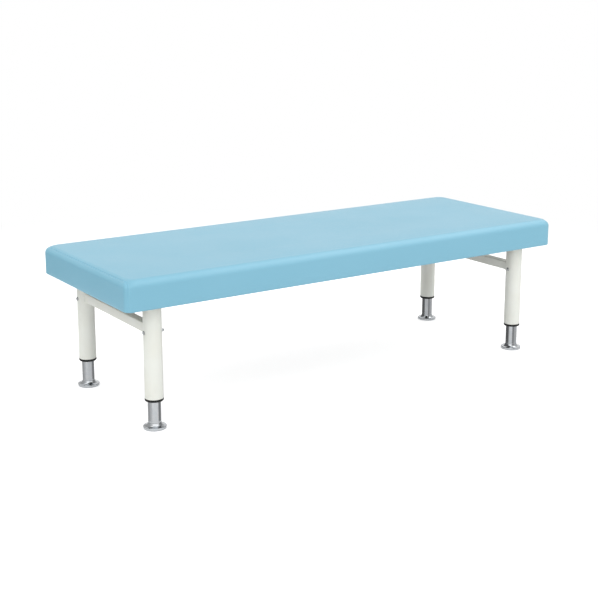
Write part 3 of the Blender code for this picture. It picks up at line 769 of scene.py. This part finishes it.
# The line at one distance from the end seam: up one corner, round its bend, along the end and down the
# other corner.
def seamLine(away, endSign):
    turn = seamShape["turnRadius"]
    upCount, bendCount, alongCount = stitchShape["linePoints"]
    bend = np.linspace(0, math.pi / 2, bendCount)
    up = np.linspace(stitchShape["firstHeight"] - seamRun, -turn, upCount + 1)[:-1]
    a = np.concatenate([np.full(upCount, away), -turn + (turn + away) * np.cos(bend)])
    b = np.concatenate([up, -turn + (turn + away) * np.sin(bend)])
    run = b + seamRun
    radius = np.interp(run, padRun, padRadius)
    s = padHalf.y - np.interp(run, padRun, padInset) - radius + radius * math.pi / 4 + a
    along = np.linspace(s[-1], -s[-1], alongCount)[1:-1]
    s = np.concatenate([s, along, -s[::-1]])
    run = np.concatenate([run, np.full(len(along), run[-1]), run[::-1]])
    return coverPlace(s, run, endSign)


# Draws a line's points on to the nearest places of a piece's surface.
def drawOnTo(points, piece):
    line = addToScene("line", makeMesh(points, []))
    wrap = line.modifiers.new("wrap", "SHRINKWRAP")
    wrap.target, wrap.wrap_method = piece, "NEAREST_SURFACEPOINT"
    drawn = readPoints(evaluatedMesh(line))
    bpy.data.objects.remove(line)
    return drawn


print("stage: stitches")
for end, sign in endSigns.items():
    points, normals = seamLine(seamShape["rowAway"], sign)
    stitches = rodRow(drawOnTo(points, padCover), normals, stitchShape)
    addPiece(stitches, "thread", name=end + "SeamStitches", sharpDegrees=80)

# Side rows is how many rows of the cover's side lie above the deck board.
foamShape = {"clearance": 0.8 * mm, "sideRows": 3, "steps": (24, 12, 10), "leastRadius": 4 * mm}


# The foam slab: the cover's own profile, drawn in by the cover's thickness, from the deck up, closed below.
def makeFoamSlab():
    inset, height, _ = coverProfile(padShape["coverThickness"] + foamShape["clearance"])
    first = edgeStart - foamShape["sideRows"]
    inset = np.append(inset[first], inset[first:])
    height = np.append(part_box("foam_core")[0].z, height[first:])
    radius = np.maximum(cornerRadii(inset, foamShape["sideRows"] + 1), foamShape["leastRadius"])
    flat = outlinePoints(outlineUnits(*foamShape["steps"]), padHalf.x - inset, padHalf.y - inset, radius)
    mesh = closeUp(makeMesh(stackOutlines(flat, height), pillarFaces(*flat.shape[:2])))
    piece = addPiece(mesh, "foam", "foam_core", "foamSlab", sharpDegrees=40)


dustClothShape = {
    "thickness": 0.5 * mm,
    "sag": 2.2 * mm,
    "stapledWidth": 35 * mm,  # the border that lies on the boards and doesn't sag
    "hem": 13 * mm,
    "hemStep": 0.35 * mm,
    "hemBlend": 0.7 * mm,
    "pucker": 0.5 * mm,
    "puckerReach": 9 * mm,
    "steps": (221, 81),
}
stapleShape = {
    "pitch": 46 * mm,
    "length": 10 * mm,
    "width": 0.5 * mm,
    "thickness": 0.3 * mm,
    "lift": 0.5 * mm,
    "sink": 0.35 * mm,
    "start": 18 * mm,
    "steps": (8, 6),
    "inset": 8 * mm,
    "below": 0.55 * mm,
    "cornerRadius": 2 * mm,
    "ringSteps": (60, 24, 4),
}


# The dust cloth: a sheet that sags a little in the bays between the boards it is stapled to. Its height
# drops in each bay by sag * (1 - (distance from the bay's middle / half the bay)^2) * (1 - (y / width)^2),
# near the edge by pucker * (a wave between two staples) * exp(-distance / reach), and over the folded hem by
# hem step / (1 + exp((distance - hem) / blend)).
def makeDustCloth():
    shape = dustClothShape
    low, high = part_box("dust_cover")
    half = (high - low) / 2
    x = np.linspace(-half.x, half.x, shape["steps"][0])[:, None]
    y = np.linspace(-half.y, half.y, shape["steps"][1])[None, :]
    battenLow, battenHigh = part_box("right_batten")
    bays = ((-battenLow.x, battenLow.x), (battenHigh.x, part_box("right_leg_board")[0].x))
    sag = sum(np.clip(1 - ((np.abs(x) - (start + stop) / 2) / ((stop - start) / 2)) ** 2, 0, 1)
              for start, stop in bays)
    across = np.clip(1 - (y / (half.y - shape["stapledWidth"])) ** 2, 0, 1)
    toEdgeX, toEdgeY = half.x - np.abs(x), half.y - np.abs(y)
    toEdge = np.minimum(toEdgeX, toEdgeY)
    alongEdge = np.where(toEdgeX < toEdgeY, y + 0 * x, x + 0 * y)
    between = 0.5 - 0.5 * np.cos(alongEdge / stapleShape["pitch"] * fullTurn)
    drop = shape["sag"] * sag * across + shape["pucker"] * between * np.exp(-toEdge / shape["puckerReach"])
    drop = drop + shape["hemStep"] / (1 + np.exp((toEdge - shape["hem"]) / shape["hemBlend"]))
    points = np.stack(np.broadcast_arrays(x, y, low.z - drop), -1)
    mesh = makeMesh(points, gridFaces(*points.shape[:2])[:, ::-1])
    piece = addPiece(mesh, "dustCloth", "dust_cover", "dustCloth", sharpDegrees=60)
    thick = piece.modifiers.new("thick", "SOLIDIFY")
    thick.thickness, thick.offset = shape["thickness"], -1
    shape = stapleShape
    units, inset = outlineUnits(*shape["ringSteps"]), shape["inset"]
    ring = outlinePoints(units, half.x - inset, half.y - inset, shape["cornerRadius"])
    ring = np.concatenate([ring, ring[:1]])
    path = np.concatenate([ring, np.full((len(ring), 1), low.z - shape["below"])], 1)
    down = np.broadcast_to(np.array([0.0, 0.0, -1.0]), path.shape)
    addPiece(rodRow(path, down, shape), "zinc", name="dustClothStaples", sharpDegrees=50)


print("stage: foam and dust cloth")
makeFoamSlab()
makeDustCloth()

# The wooden base and the guides on the inner tubes keep their CAD solids, in bare wood and black nylon.
spruceTints = ("#D9B98A", "#B98F5C")
spruceAcross = makeWood("planedSpruceAlongY", spruceTints, 1)
carriedOver = {
    "deck_board": makeWood("birchPlywood", ("#DDC59C", "#C2A171"), 0),
    "side_rail": makeWood("planedSpruceAlongX", spruceTints, 0),
    "end_rail": spruceAcross,
    "leg_board": spruceAcross,
    "batten": spruceAcross,
    "top_guide": surfaces["plastic"][0],
}
for node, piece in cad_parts.items():
    for words, material in carriedOver.items():
        if words in node:
            for place in piece.material_slots:
                place.material = material

# From here on the values in the dictionaries are in mm, as turned profiles are. Roundings go by the order
# of a profile's corners, and those that are left out are 0.
barShape = {"corner": 8.0, "edge": 0.7, "edgeRows": 4, "steps": (2, 2, 12)}


# The bar on top of two legs: a rounded outline drawn in by inset = edge * (1 - sin a) while the height goes
# from each face by edge * (1 - cos a), with flat faces below and above.
def makeMountBar(end):
    low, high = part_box(end + "_mount_bar")
    half, middle = (high - low) / 2, (high + low) / 2
    edge, bend = barShape["edge"] * mm, np.linspace(0, math.pi / 2, barShape["edgeRows"])
    inset, rise = edge * (1 - np.sin(bend)), edge * (1 - np.cos(bend))
    inset = np.concatenate([inset, inset[::-1]])
    units = outlineUnits(*barShape["steps"])
    flat = outlinePoints(units, half.x - inset, half.y - inset, barShape["corner"] * mm - inset)
    heights = np.concatenate([low.z + rise, high.z - rise[::-1]])
    points = stackOutlines(flat + np.array(middle[:2]), heights)
    addPiece(closeUp(makeMesh(points, pillarFaces(*flat.shape[:2]))), "paint", end + "_mount_bar")


def legAcross():  # distance of the legs' axes from the table's middle line
    return middleOf("back_right_leg_tube").y


railShape = {"side": 32.0, "wall": 1.6, "corner": 3.0, "gap": 0.3, "rows": 9, "steps": (10, 4, 8)}


# The rail: a rounded square outline (x, z) carried along Y between the two leg tubes. Each of its points
# stops on the tubes: y = leg distance - square root of (tube radius^2 - x^2). The outer skin runs one way
# and the inner one back.
def makeCrossRail(end):
    shape = railShape
    middle = middleOf(end + "_cross_rail")
    clear = (tubeShape["radius"] + shape["gap"]) * mm
    units = outlineUnits(*shape["steps"])
    half, wall, corner = shape["side"] / 2 * mm, shape["wall"] * mm, shape["corner"] * mm
    share = np.linspace(-1, 1, shape["rows"])
    rows = []
    for drawnIn, way in ((0, share), (wall, share[::-1])):
        outline = outlinePoints(units, half - drawnIn, half - drawnIn, corner - drawnIn)
        stop = legAcross() - np.sqrt(clear ** 2 - outline[:, 0] ** 2)
        x, z = (np.broadcast_to(outline[:, k], (len(way), len(outline))) for k in (0, 1))
        rows.append(np.stack([middle.x + x, way[:, None] * stop, middle.z + z], -1))
    points = np.concatenate(rows)
    mesh = closeUp(makeMesh(points, gridFaces(*points.shape[:2], wrapRows=True, wrapColumns=True)))
    addPiece(mesh, "paint", end + "_cross_rail")


weldShape = {
    "radius": 2.1, "dropPitch": 2.8, "dropShare": 0.10, "wanderShare": 0.06, "wanderPace": 0.173,
    "wanderStart": 1, "offTube": 0.5, "offRail": 0.4, "underBar": 0.8, "around": 10,
    "railSteps": (60, 60, 24), "ringSteps": 240,
}


# A weld bead along a closed path: a circle in the plane of the two directions given. Its radius swells once
# for each drop of weld and wanders slowly: with phase as the turns of run / drop pitch, it is
# radius * (1 + drop share * cos(phase) + wander share * cos(pace * phase + start)).
def beadPoints(path, first, second):
    shape = weldShape
    phase = runAlong(path) / (shape["dropPitch"] * mm) * fullTurn
    wander = shape["wanderShare"] * np.cos(phase * shape["wanderPace"] + shape["wanderStart"])
    swell = 1 + shape["dropShare"] * np.cos(phase) + wander
    v = np.arange(shape["around"]) * fullTurn / shape["around"]
    ring = first[:, None] * np.cos(v)[:, None] + second[:, None] * np.sin(v)[:, None]
    return path[:, None] + ring * (shape["radius"] * mm * swell)[:, None, None]


def makeWelds(end):
    shape = weldShape
    middle = middleOf(end + "_cross_rail")
    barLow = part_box(end + "_mount_bar")[0].z
    tube = (tubeShape["radius"] + shape["offTube"]) * mm
    half = (railShape["side"] / 2 + shape["offRail"]) * mm
    units = outlineUnits(*shape["railSteps"])
    outline = outlinePoints(units, half, half, (railShape["corner"] + shape["offRail"]) * mm)
    turn = np.arange(shape["ringSteps"]) * fullTurn / shape["ringSteps"]
    ring = np.stack([np.cos(turn), np.sin(turn), 0 * turn], -1)
    parts = []
    for side in (-1, 1):
        # round the rail's end: a little outside its outline, a little off the tube
        y = side * (legAcross() - np.sqrt(tube ** 2 - outline[:, 0] ** 2))
        path = np.stack([middle.x + outline[:, 0], y, middle.z + outline[:, 1]], -1)
        outward = np.stack([units[2], 0 * units[2], units[3]], -1)
        slope = outline[:, 0] / tube
        away = np.stack([slope, -side * np.sqrt(1 - slope ** 2), 0 * slope], -1)
        away -= outward * np.sum(away * outward, 1, keepdims=True)
        parts.append(beadPoints(path, outward, away / np.linalg.norm(away, axis=1, keepdims=True)))
        # round the top of the leg, under the mount bar
        path = ring * tube + np.array([middle.x, side * legAcross(), barLow - shape["underBar"] * mm])
        parts.append(beadPoints(path, ring, np.broadcast_to(np.array([0, 0, 1.0]), ring.shape)))
    faces, count = [], 0
    for part in parts:
        faces.append(gridFaces(*part.shape[:2], wrapRows=True, wrapColumns=True) + count)
        count += part.shape[0] * part.shape[1]
    points = np.concatenate([part.reshape(-1, 3) for part in parts])
    mesh = closeUp(makeMesh(points, np.concatenate(faces)))
    addPiece(mesh, "paint", name=end + "Welds", sharpDegrees=80)


screwShape = {
    "gap": 0.3, "shank": 4.0, "tip": 1.4, "point": 8.0, "washer": 8.5, "washerHeight": 1.1, "neck": 0.4,
    "flats": 13.0, "hexEdge": 0.1, "hexHeight": 5.6, "height": 6.7, "crown": 6.3, "dish": 4.6,
    "dishRim": 0.6, "dishDepth": 0.4, "roundings": (0, 0.3, 1, 0, 0.3, 0.4, 0, 0, 0, 0.2, 0.4, 0.3),
    "steps": 48,
}


# A hexagon-head screw seen from below: shank up into the wood, washer face, hexagon with a chamfered,
# dished crown.
def makeMountScrew(end, number, gap, shank, tip, point, washer, washerHeight, neck, flats, hexEdge,
                   hexHeight, height, crown, dish, dishRim, dishDepth, roundings, steps):
    node = f"{end}_mount_screw_{number}"
    low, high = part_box(node)
    seat = ((low.x + high.x) / 2, (low.y + high.y) / 2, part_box(end + "_mount_bar")[0].z - gap * mm)
    top = (seat[2] - high.z) / mm
    reach, hexStart = flats / 2 / math.cos(math.pi / 6), washerHeight + neck
    corners = [(0, top), (tip, top), (shank, top + point), (shank, 0), (washer, 0), (washer, washerHeight),
               (reach + hexEdge, hexStart), (reach, hexStart, flats), (reach + hexEdge, hexHeight, flats),
               (crown, height, flats), (dish + dishRim, height), (dish, height - dishDepth),
               (0, height - dishDepth)]
    addPiece(turnedMesh(corners, roundings, steps, seat, "down"), "zinc", node)


tubeShape = {"radius": 30.25, "wall": 2.3, "roundings": (0.3, 0.3, 0.8, 0.3), "steps": 96, "drillSteps": 24,
             "drillPast": 5}


# A length of tube in the place of a CAD node, from its lowest point to its highest.
def tubeMesh(node, outer, wall, roundings, steps):
    low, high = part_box(node)
    bore, bottom, top = outer - wall, low.z / mm, high.z / mm
    corners = [(bore, top), (outer, top), (outer, bottom), (bore, bottom)]
    return turnedMesh(corners, roundings, steps, axisOf(node), closed=True)


def makeLegTube(leg, radius, wall, roundings, steps, drillSteps, drillPast):
    node = leg + "_leg_tube"
    x, y, _ = axisOf(node)
    reach, hole = radius + drillPast, nutShape["bore"]
    corners = [(0, -reach), (hole, -reach), (hole, reach), (0, reach)]
    drill = turnedMesh(corners, (), drillSteps, (x, y, middleOf(leg + "_height_bolt").z), "right")
    addPiece(cutOut(tubeMesh(node, radius, wall, roundings, steps), drill), "paint", node)


boltShape = {
    "seatAway": 30.55, "washer": 6.8, "washerHeight": 1.0, "head": 5.6, "headHeight": 3.4, "skirt": 0.3,
    "domeDegrees": (34, 45, 56, 67, 78), "socket": 4.0, "socketDepth": 2.2, "socketPoint": 0.5,
    "socketTop": 0.75, "socketRim": 2.75, "rimDrop": 0.45, "shank": 3.0, "pastTube": 8.0,
    "roundings": (0, 0, 0, 0.1, 0.2, 0, 0.3, 0.2, 0, 0.5), "steps": 48,
}


# The bolt through the leg: a low round head with a hexagon socket, over a washer.
def makeHeightBolt(leg, seatAway, washer, washerHeight, head, headHeight, skirt, domeDegrees, socket,
                   socketDepth, socketPoint, socketTop, socketRim, rimDrop, shank, pastTube, roundings,
                   steps):
    bolt = middleOf(leg + "_height_bolt")
    top, length = washerHeight + headHeight, 2 * seatAway + pastTube
    corners = [(0, top - socketDepth - socketPoint), (socket, top - socketDepth, socket),
               (socket, top - socketTop, socket), (socketRim, top - rimDrop),
               domeRows(head, washerHeight, headHeight, domeDegrees), (head, washerHeight + skirt),
               (head, washerHeight), (washer, washerHeight), (washer, 0), (shank, 0), (shank, -length),
               (0, -length)]
    seat = (middleOf(leg + "_leg_tube").x - seatAway * mm, bolt.y, bolt.z)
    addPiece(turnedMesh(corners, roundings, steps, seat, "left"), "zinc", leg + "_height_bolt")


nutShape = {
    "washer": 6.8, "washerHeight": 1.2, "flats": 10.0, "hexFoot": 0.2, "hexHeight": 5.5, "chamfer": 0.7,
    "height": 11.5, "dome": 4.6, "domeDegrees": (0, 12, 24, 36, 48, 60, 72, 82), "bore": 3.3,
    "boreDepth": 8.3, "roundings": (0, 0, 0, 0, 0.3, 0.2), "steps": 48,
}


# The cap nut on the bolt's other end: a dome, a hexagon and a washer.
def makeCapNut(leg, washer, washerHeight, flats, hexFoot, hexHeight, chamfer, height, dome, domeDegrees,
               bore, boreDepth, roundings, steps):
    nut = middleOf(leg + "_cap_nut")
    reach = flats / 2 / math.cos(math.pi / 6)
    corners = [domeRows(dome, hexHeight, height - hexHeight, domeDegrees), (dome, hexHeight),
               (reach, hexHeight - chamfer, flats), (reach, washerHeight + hexFoot, flats),
               (reach, washerHeight, flats), (washer, washerHeight), (washer, 0), (bore, 0),
               (bore, boreDepth), (0, boreDepth)]
    seat = (middleOf(leg + "_leg_tube").x + boltShape["seatAway"] * mm, nut.y, nut.z)
    addPiece(turnedMesh(corners, roundings, steps, seat, "right"), "zinc", leg + "_cap_nut")


bushShape = {
    "bore": 21.65, "rim": 30.6, "bottom": 93.8, "rimHeight": 8.5, "chamfer": 2.4, "sleeve": 27.65,
    "top": 162.6, "roundings": (0.6, 0.5, 0.1, 0.8, 0.9, 0.7, 0.5), "steps": 96,
}


# The guide bush: a sleeve up inside the leg tube, and below it the collar that shows as the black ring.
def makeGuideBush(leg, bore, rim, bottom, rimHeight, chamfer, sleeve, top, roundings, steps):
    rimTop = bottom + rimHeight
    corners = [(bore, top), (sleeve, top), (sleeve, rimTop), (rim, rimTop), (rim, bottom + chamfer),
               (rim - chamfer, bottom), (bore, bottom)]
    mesh = turnedMesh(corners, roundings, steps, axisOf(leg + "_leg_tube"), closed=True)
    addPiece(mesh, "plastic", leg + "_guide_bush")


innerTubeShape = {
    "radius": 21.35, "wall": 2.3, "roundings": (0.3, 0.4, 0.25, 0.2), "steps": 96, "slotWidth": 6.6,
    "slotEnd": 0.99,  # the rounding of the slot's ends, as a share of half its width
    "travel": 65.0, "slotSteps": (1, 4, 12), "slotPast": 5,
}


# The tube that slides: its slot, a rectangle with round ends carried through it along X, clears the bolt.
def makeInnerTube(leg, radius, wall, roundings, steps, slotWidth, travel, slotEnd, slotSteps, slotPast):
    node = leg + "_inner_tube"
    x, y, _ = axisOf(node)
    half, rise = slotWidth / 2 * mm, travel / 2 * mm
    outline = outlinePoints(outlineUnits(*slotSteps), half, rise + half, half * slotEnd)
    across, up = (np.broadcast_to(outline[:, k], (2, len(outline))) for k in (0, 1))
    through = np.array([-1, 1])[:, None] * (radius + slotPast) * mm
    slot = np.stack([x + through + 0 * across, y + across, middleOf(leg + "_cap_nut").z - rise + up], -1)
    cutter = closeUp(makeMesh(slot, pillarFaces(2, len(outline))))
    mesh = cutOut(tubeMesh(node, radius, wall, roundings, steps), cutter)
    addPiece(mesh, "chrome", node, body=leg + "_leg")


footShape = {
    "rim": 37.75, "lift": 1.0, "rimTop": 10.0, "rimEdge": 1.5, "rimFall": 0.15, "flareTop": 22.0,
    "flareRows": 15, "spigot": 18.75, "spigotWall": 3.0, "spigotTop": 48.0, "recess": 32.8,
    "recessTop": 3.4, "bore": 6.0, "roundings": (0.3, 0.5, 0, 0.1, 1.6, 1.1, 0.2, 0, 0, 0, 0.5),
    "steps": 120,
}


# The foot: a spigot, a trumpet flare (radius = tube + reach * (1 - cos a), height = top - drop * sin a), a
# rim with rolled edges and a recess for the sole.
def makeFoot(leg, rim, lift, rimTop, rimEdge, rimFall, flareTop, flareRows, spigot, spigotWall, spigotTop,
             recess, recessTop, bore, roundings, steps):
    tube, flareEnd, inner = innerTubeShape["radius"], rim - rimEdge, spigot - spigotWall
    a = np.linspace(0, math.pi / 2, flareRows)[:-1]
    reach, drop = flareEnd - tube, flareTop - rimTop
    flare = np.stack([tube + reach * (1 - np.cos(a)), flareTop - drop * np.sin(a)], -1)
    corners = [(inner, spigotTop), (spigot, spigotTop), (spigot, flareTop), flare, (flareEnd, rimTop),
               (rim, rimTop - rimFall), (rim, lift), (recess, lift), (recess, recessTop), (bore, recessTop),
               (bore, rimTop), (inner, rimTop)]
    mesh = turnedMesh(corners, roundings, steps, axisOf(leg + "_foot"), closed=True, roundSteps=6)
    addPiece(mesh, "chrome", leg + "_foot", body=leg + "_leg", sharpDegrees=24)


soleShape = {
    "radius": 32.5, "top": 3.1, "stud": 5.4, "studTop": 12.1, "roundings": (0, 0.6, 0.2, 0.3, 0.6),
    "steps": 72, "grooves": (26, 19, 12), "grooveDepth": 0.8, "grooveHalf": (1.4, 0.6),
    "grooveRounding": 0.3,
}


# The sole: a disc with a stud up into the foot, and ring grooves below, each widest at its mouth.
def makeSole(leg, radius, top, stud, studTop, roundings, steps, grooves, grooveDepth, grooveHalf,
             grooveRounding):
    wide, narrow = grooveHalf
    section = ((wide, 0), (narrow, grooveDepth), (-narrow, grooveDepth), (-wide, 0))
    grooved = [(at + beside, depth) for at in grooves for beside, depth in section]
    corners = [(0, studTop), (stud, studTop), (stud, top), (radius, top), (radius, 0), *grooved, (0, 0)]
    roundings += (grooveRounding,) * len(grooved)
    mesh = turnedMesh(corners, roundings, steps, axisOf(leg + "_sole"))
    addPiece(mesh, "rubber", leg + "_sole", body=leg + "_leg")


print("stage: leg frames")
for end in endSigns:
    for make in (makeMountBar, makeCrossRail, makeWelds):
        make(end)
    for number in range(1, 5):
        makeMountScrew(end, number, **screwShape)

print("stage: legs")
legPieces = {
    makeLegTube: tubeShape, makeGuideBush: bushShape, makeHeightBolt: boltShape, makeCapNut: nutShape,
    makeInnerTube: innerTubeShape, makeFoot: footShape, makeSole: soleShape,
}
for leg in legNames:
    for make, shape in legPieces.items():
        make(leg, **shape)

photoCamera = {
    "place": (-2.4279, -3.5326, 1.3866),
    "heading": 0.5925,  # from +Y towards +X, in radians
    "tilt": -0.2085,
    "lens": 72.12,
    "shiftY": -0.0987,
}
surround = {"light": 0.86, "shown": 1.0}
window = {"way": (0.30, 0.60, -0.80), "power": 1.15, "spreadDegrees": 100}
floorLook = {
    "colour": "#E4E4E4",
    "glow": 0.62,
    "glowInMirrors": 0.3,
    "fade": (1.6, 3.2),  # metres from the table's middle over which the paper turns to plain white
    "half": 30,
    "level": -0.1 * mm,
}
# Painted reflections: sheets that glow with a set grey, which only mirrors see and which light nothing else.
# Two large ones of one grey, in metres, paint shade into the sheen on the pad's left end and a highlight
# along its rounded edges. Small painted stripes beside the legs, in mm, paint dark bands into the chrome
# tubes: one stands where the band from one share of the chrome tube's half width to another mirrors it.
# Its tones are pairs of such a share and the grey there, and go softly from one to the next. A grey of 1 is
# the surround's own white.
cards = {
    # painted shade in the sheen of the pad's left end
    "endCard": {"ends": ((-2.1, 0.1), (-1.1, 1.6)), "low": 0.002, "high": 0.6, "grey": 0.1},
    # a painted highlight along the pad's rounded edges and glints on the chrome, brighter than white
    "brightWall": {"ends": ((4.0, -6.5), (4.0, 1.6)), "low": 2.6, "high": 9.0, "grey": 2.6},
}
# Painted stripes beside the legs paint dark and grey bands into the chrome tubes' reflections.
flagPlace = {"away": 68, "low": 1, "high": 94, "steps": 25}
flagTones = {
    ("front_left", "back_left"): (
        ((-0.99, 0.5), (-0.72, 0.54), (-0.6, 0.74), (-0.46, 0.78), (-0.32, 1.0)),
        ((0.52, 1.0), (0.68, 0.28), (0.88, 0.28), (0.98, 0.8)),
    ),
    ("front_right", "back_right"): (
        ((-0.97, 0.16), (-0.52, 0.16), (-0.32, 1.0)),
        ((0.12, 1.0), (0.28, 0.32), (0.44, 0.32), (0.58, 0.62), (0.97, 0.66)),
    ),
}


# Who sees a surface, each 0 or 1: the camera, a mirror or glass, and either of them.
def seenBy(add):
    rays = add("LightPath").outputs
    camera = rays["Is Camera Ray"]
    mirrored = {0: rays["Is Glossy Ray"], 1: rays["Is Transmission Ray"]}
    mirrored = add("Math", mirrored, operation="MAXIMUM")
    return camera, mirrored, add("Math", {0: camera, 1: mirrored}, operation="MAXIMUM")


# The surround: an even white that the camera, mirrors and glass see at full strength, and that lights at
# its own.
def makeWorld():
    world = bpy.data.worlds.new("studioSurround")
    bpy.context.scene.world = world
    world.use_nodes = True
    add = emptied(world.node_tree)
    light, shown = (add("Background", {"Color": (1, 1, 1, 1), "Strength": surround[strength]})
                    for strength in ("light", "shown"))
    mixed = add("MixShader", {0: seenBy(add)[2], 1: light, 2: shown})
    add("OutputWorld", {"Surface": mixed})


# A sheet of white paper under the table. Eyes and mirrors see it glow a little, so that it reads as white
# where nothing shades it, and far from the table it turns to the plain white of the surround. From below it
# can be seen through.
def makeFloor():
    look = floorLook
    half, level = look["half"], look["level"]
    corners = [(-half, -half, level), (half, -half, level), (half, half, level), (-half, half, level)]
    floor = addToScene("studioFloor", makeMesh(corners, [(0, 1, 2, 3)]))
    material, add, place = startMaterial("whitePaperFloor", look["colour"])
    camera, mirrored, seen = seenBy(add)
    glow = add("Math", {0: mirrored, 1: look["glowInMirrors"]}, operation="MULTIPLY")
    glow = add("Math", {0: camera, 1: look["glow"], 2: glow}, operation="MULTIPLY_ADD")
    paper = add("BsdfDiffuse", {"Color": linear(look["colour"])})
    lit = add("AddShader", {0: paper, 1: add("Emission", {"Strength": glow})})
    away = add("VectorMath", {0: place}, operation="LENGTH").outputs["Value"]
    near, far = look["fade"]
    faded = add("MapRange", {"Value": away, "From Min": near, "From Max": far}, **smooth)
    faded = add("Math", {0: faded, 1: seen}, operation="MULTIPLY")
    white = add("Emission", {"Color": (1, 1, 1, 1), "Strength": surround["shown"]})
    sheet = add("MixShader", {0: faded, 1: lit, 2: white})
    below = add("NewGeometry").outputs["Backfacing"]
    sided = add("MixShader", {0: below, 1: sheet, 2: add("BsdfTransparent")})
    add("OutputMaterial", {"Surface": sided})
    floor.data.materials.append(material)


# A painted reflection: a sheet that glows with its tone, seen only in mirrors; it lights nothing else and
# casts no shadow.
def addCard(name, points, faces, tones):
    card = addToScene(name, makeMesh(points, faces))
    layer = card.data.attributes.new("tone", "FLOAT", "POINT")
    layer.data.foreach_set("value", np.asarray(tones, np.float32))
    material, add, _ = startMaterial(name + "Paper", "#FFFFFF")
    tone = add("Attribute", attribute_name="tone").outputs["Fac"]
    add("OutputMaterial", {"Surface": add("Emission", {"Strength": tone})})
    card.data.materials.append(material)
    card.visible_camera = card.visible_diffuse = card.visible_shadow = card.visible_transmission = False


# With a as the turn whose sine is the share across the tube, a band on the tube lies at radius * (sin a
# right, cos a near) and mirrors the way (sin 2a right, cos 2a near). Its painted stripe stands where that
# way meets a circle round the leg.
def flagPoints(leg, shares):
    centre = np.array(axisOf(leg + "_leg_tube")[:2])
    radius, circle = innerTubeShape["radius"] * mm, flagPlace["away"] * mm
    near = np.array(photoCamera["place"][:2]) - centre
    near /= np.linalg.norm(near)
    right = np.array([-near[1], near[0]])
    turn = np.arcsin(shares)[:, None]
    stripe = radius * (np.sin(turn) * right + np.cos(turn) * near)
    way = np.sin(2 * turn) * right + np.cos(2 * turn) * near
    reach = np.sum(stripe * way, 1, keepdims=True)
    spot = centre + stripe + way * (np.sqrt(reach ** 2 + circle ** 2 - radius ** 2) - reach)
    return np.concatenate([np.insert(spot, 2, flagPlace[edge] * mm, axis=1) for edge in ("low", "high")])


def makeCards():
    # the large sheets: painted shade and a painted highlight, seen only in reflections
    for name, card in cards.items():
        low, high = ([(*end, card[level]) for end in card["ends"]] for level in ("low", "high"))
        addCard(name, low + high[::-1], [(0, 1, 2, 3)], [card["grey"]] * 4)
    steps = flagPlace["steps"]
    # the painted stripes: dark bands painted into the reflections of the chrome tubes
    for pair, bands in flagTones.items():
        for number, band in enumerate(bands, 1):
            shares, greys = np.array(band).T
            across = np.linspace(shares[0], shares[-1], steps)
            tones = np.tile(np.interp(across, shares, greys), 2)
            for leg in pair:
                addCard(camel(f"{leg}_flag_{number}"), flagPoints(leg, across), gridFaces(2, steps), tones)


# Soft light from one way, as from a wall of windows: it doesn't fall off along the table.
def makeWindowLight():
    lamp = bpy.data.lights.new("windowLight", "SUN")
    lamp.energy, lamp.angle = window["power"], math.radians(window["spreadDegrees"])
    holder = addToScene("windowLight", lamp)
    holder.rotation_euler = Vector(window["way"]).to_track_quat("-Z", "Y").to_euler()


def makeCamera():
    look = photoCamera
    camera = bpy.data.cameras.new("photoCamera")
    camera.lens, camera.shift_y = look["lens"], look["shiftY"]
    holder = addToScene("photoCamera", camera)
    holder.location = look["place"]
    heading, flat = look["heading"], math.cos(look["tilt"])
    ahead = Vector((math.sin(heading) * flat, math.cos(heading) * flat, math.sin(look["tilt"])))
    holder.rotation_euler = ahead.to_track_quat("-Z", "Y").to_euler()
    bpy.context.scene.camera = holder


print("stage: studio")
makeWorld()
makeFloor()
makeCards()
makeWindowLight()
makeCamera()
bpy.context.scene.view_settings.view_transform = "Standard"

print("stage: done")
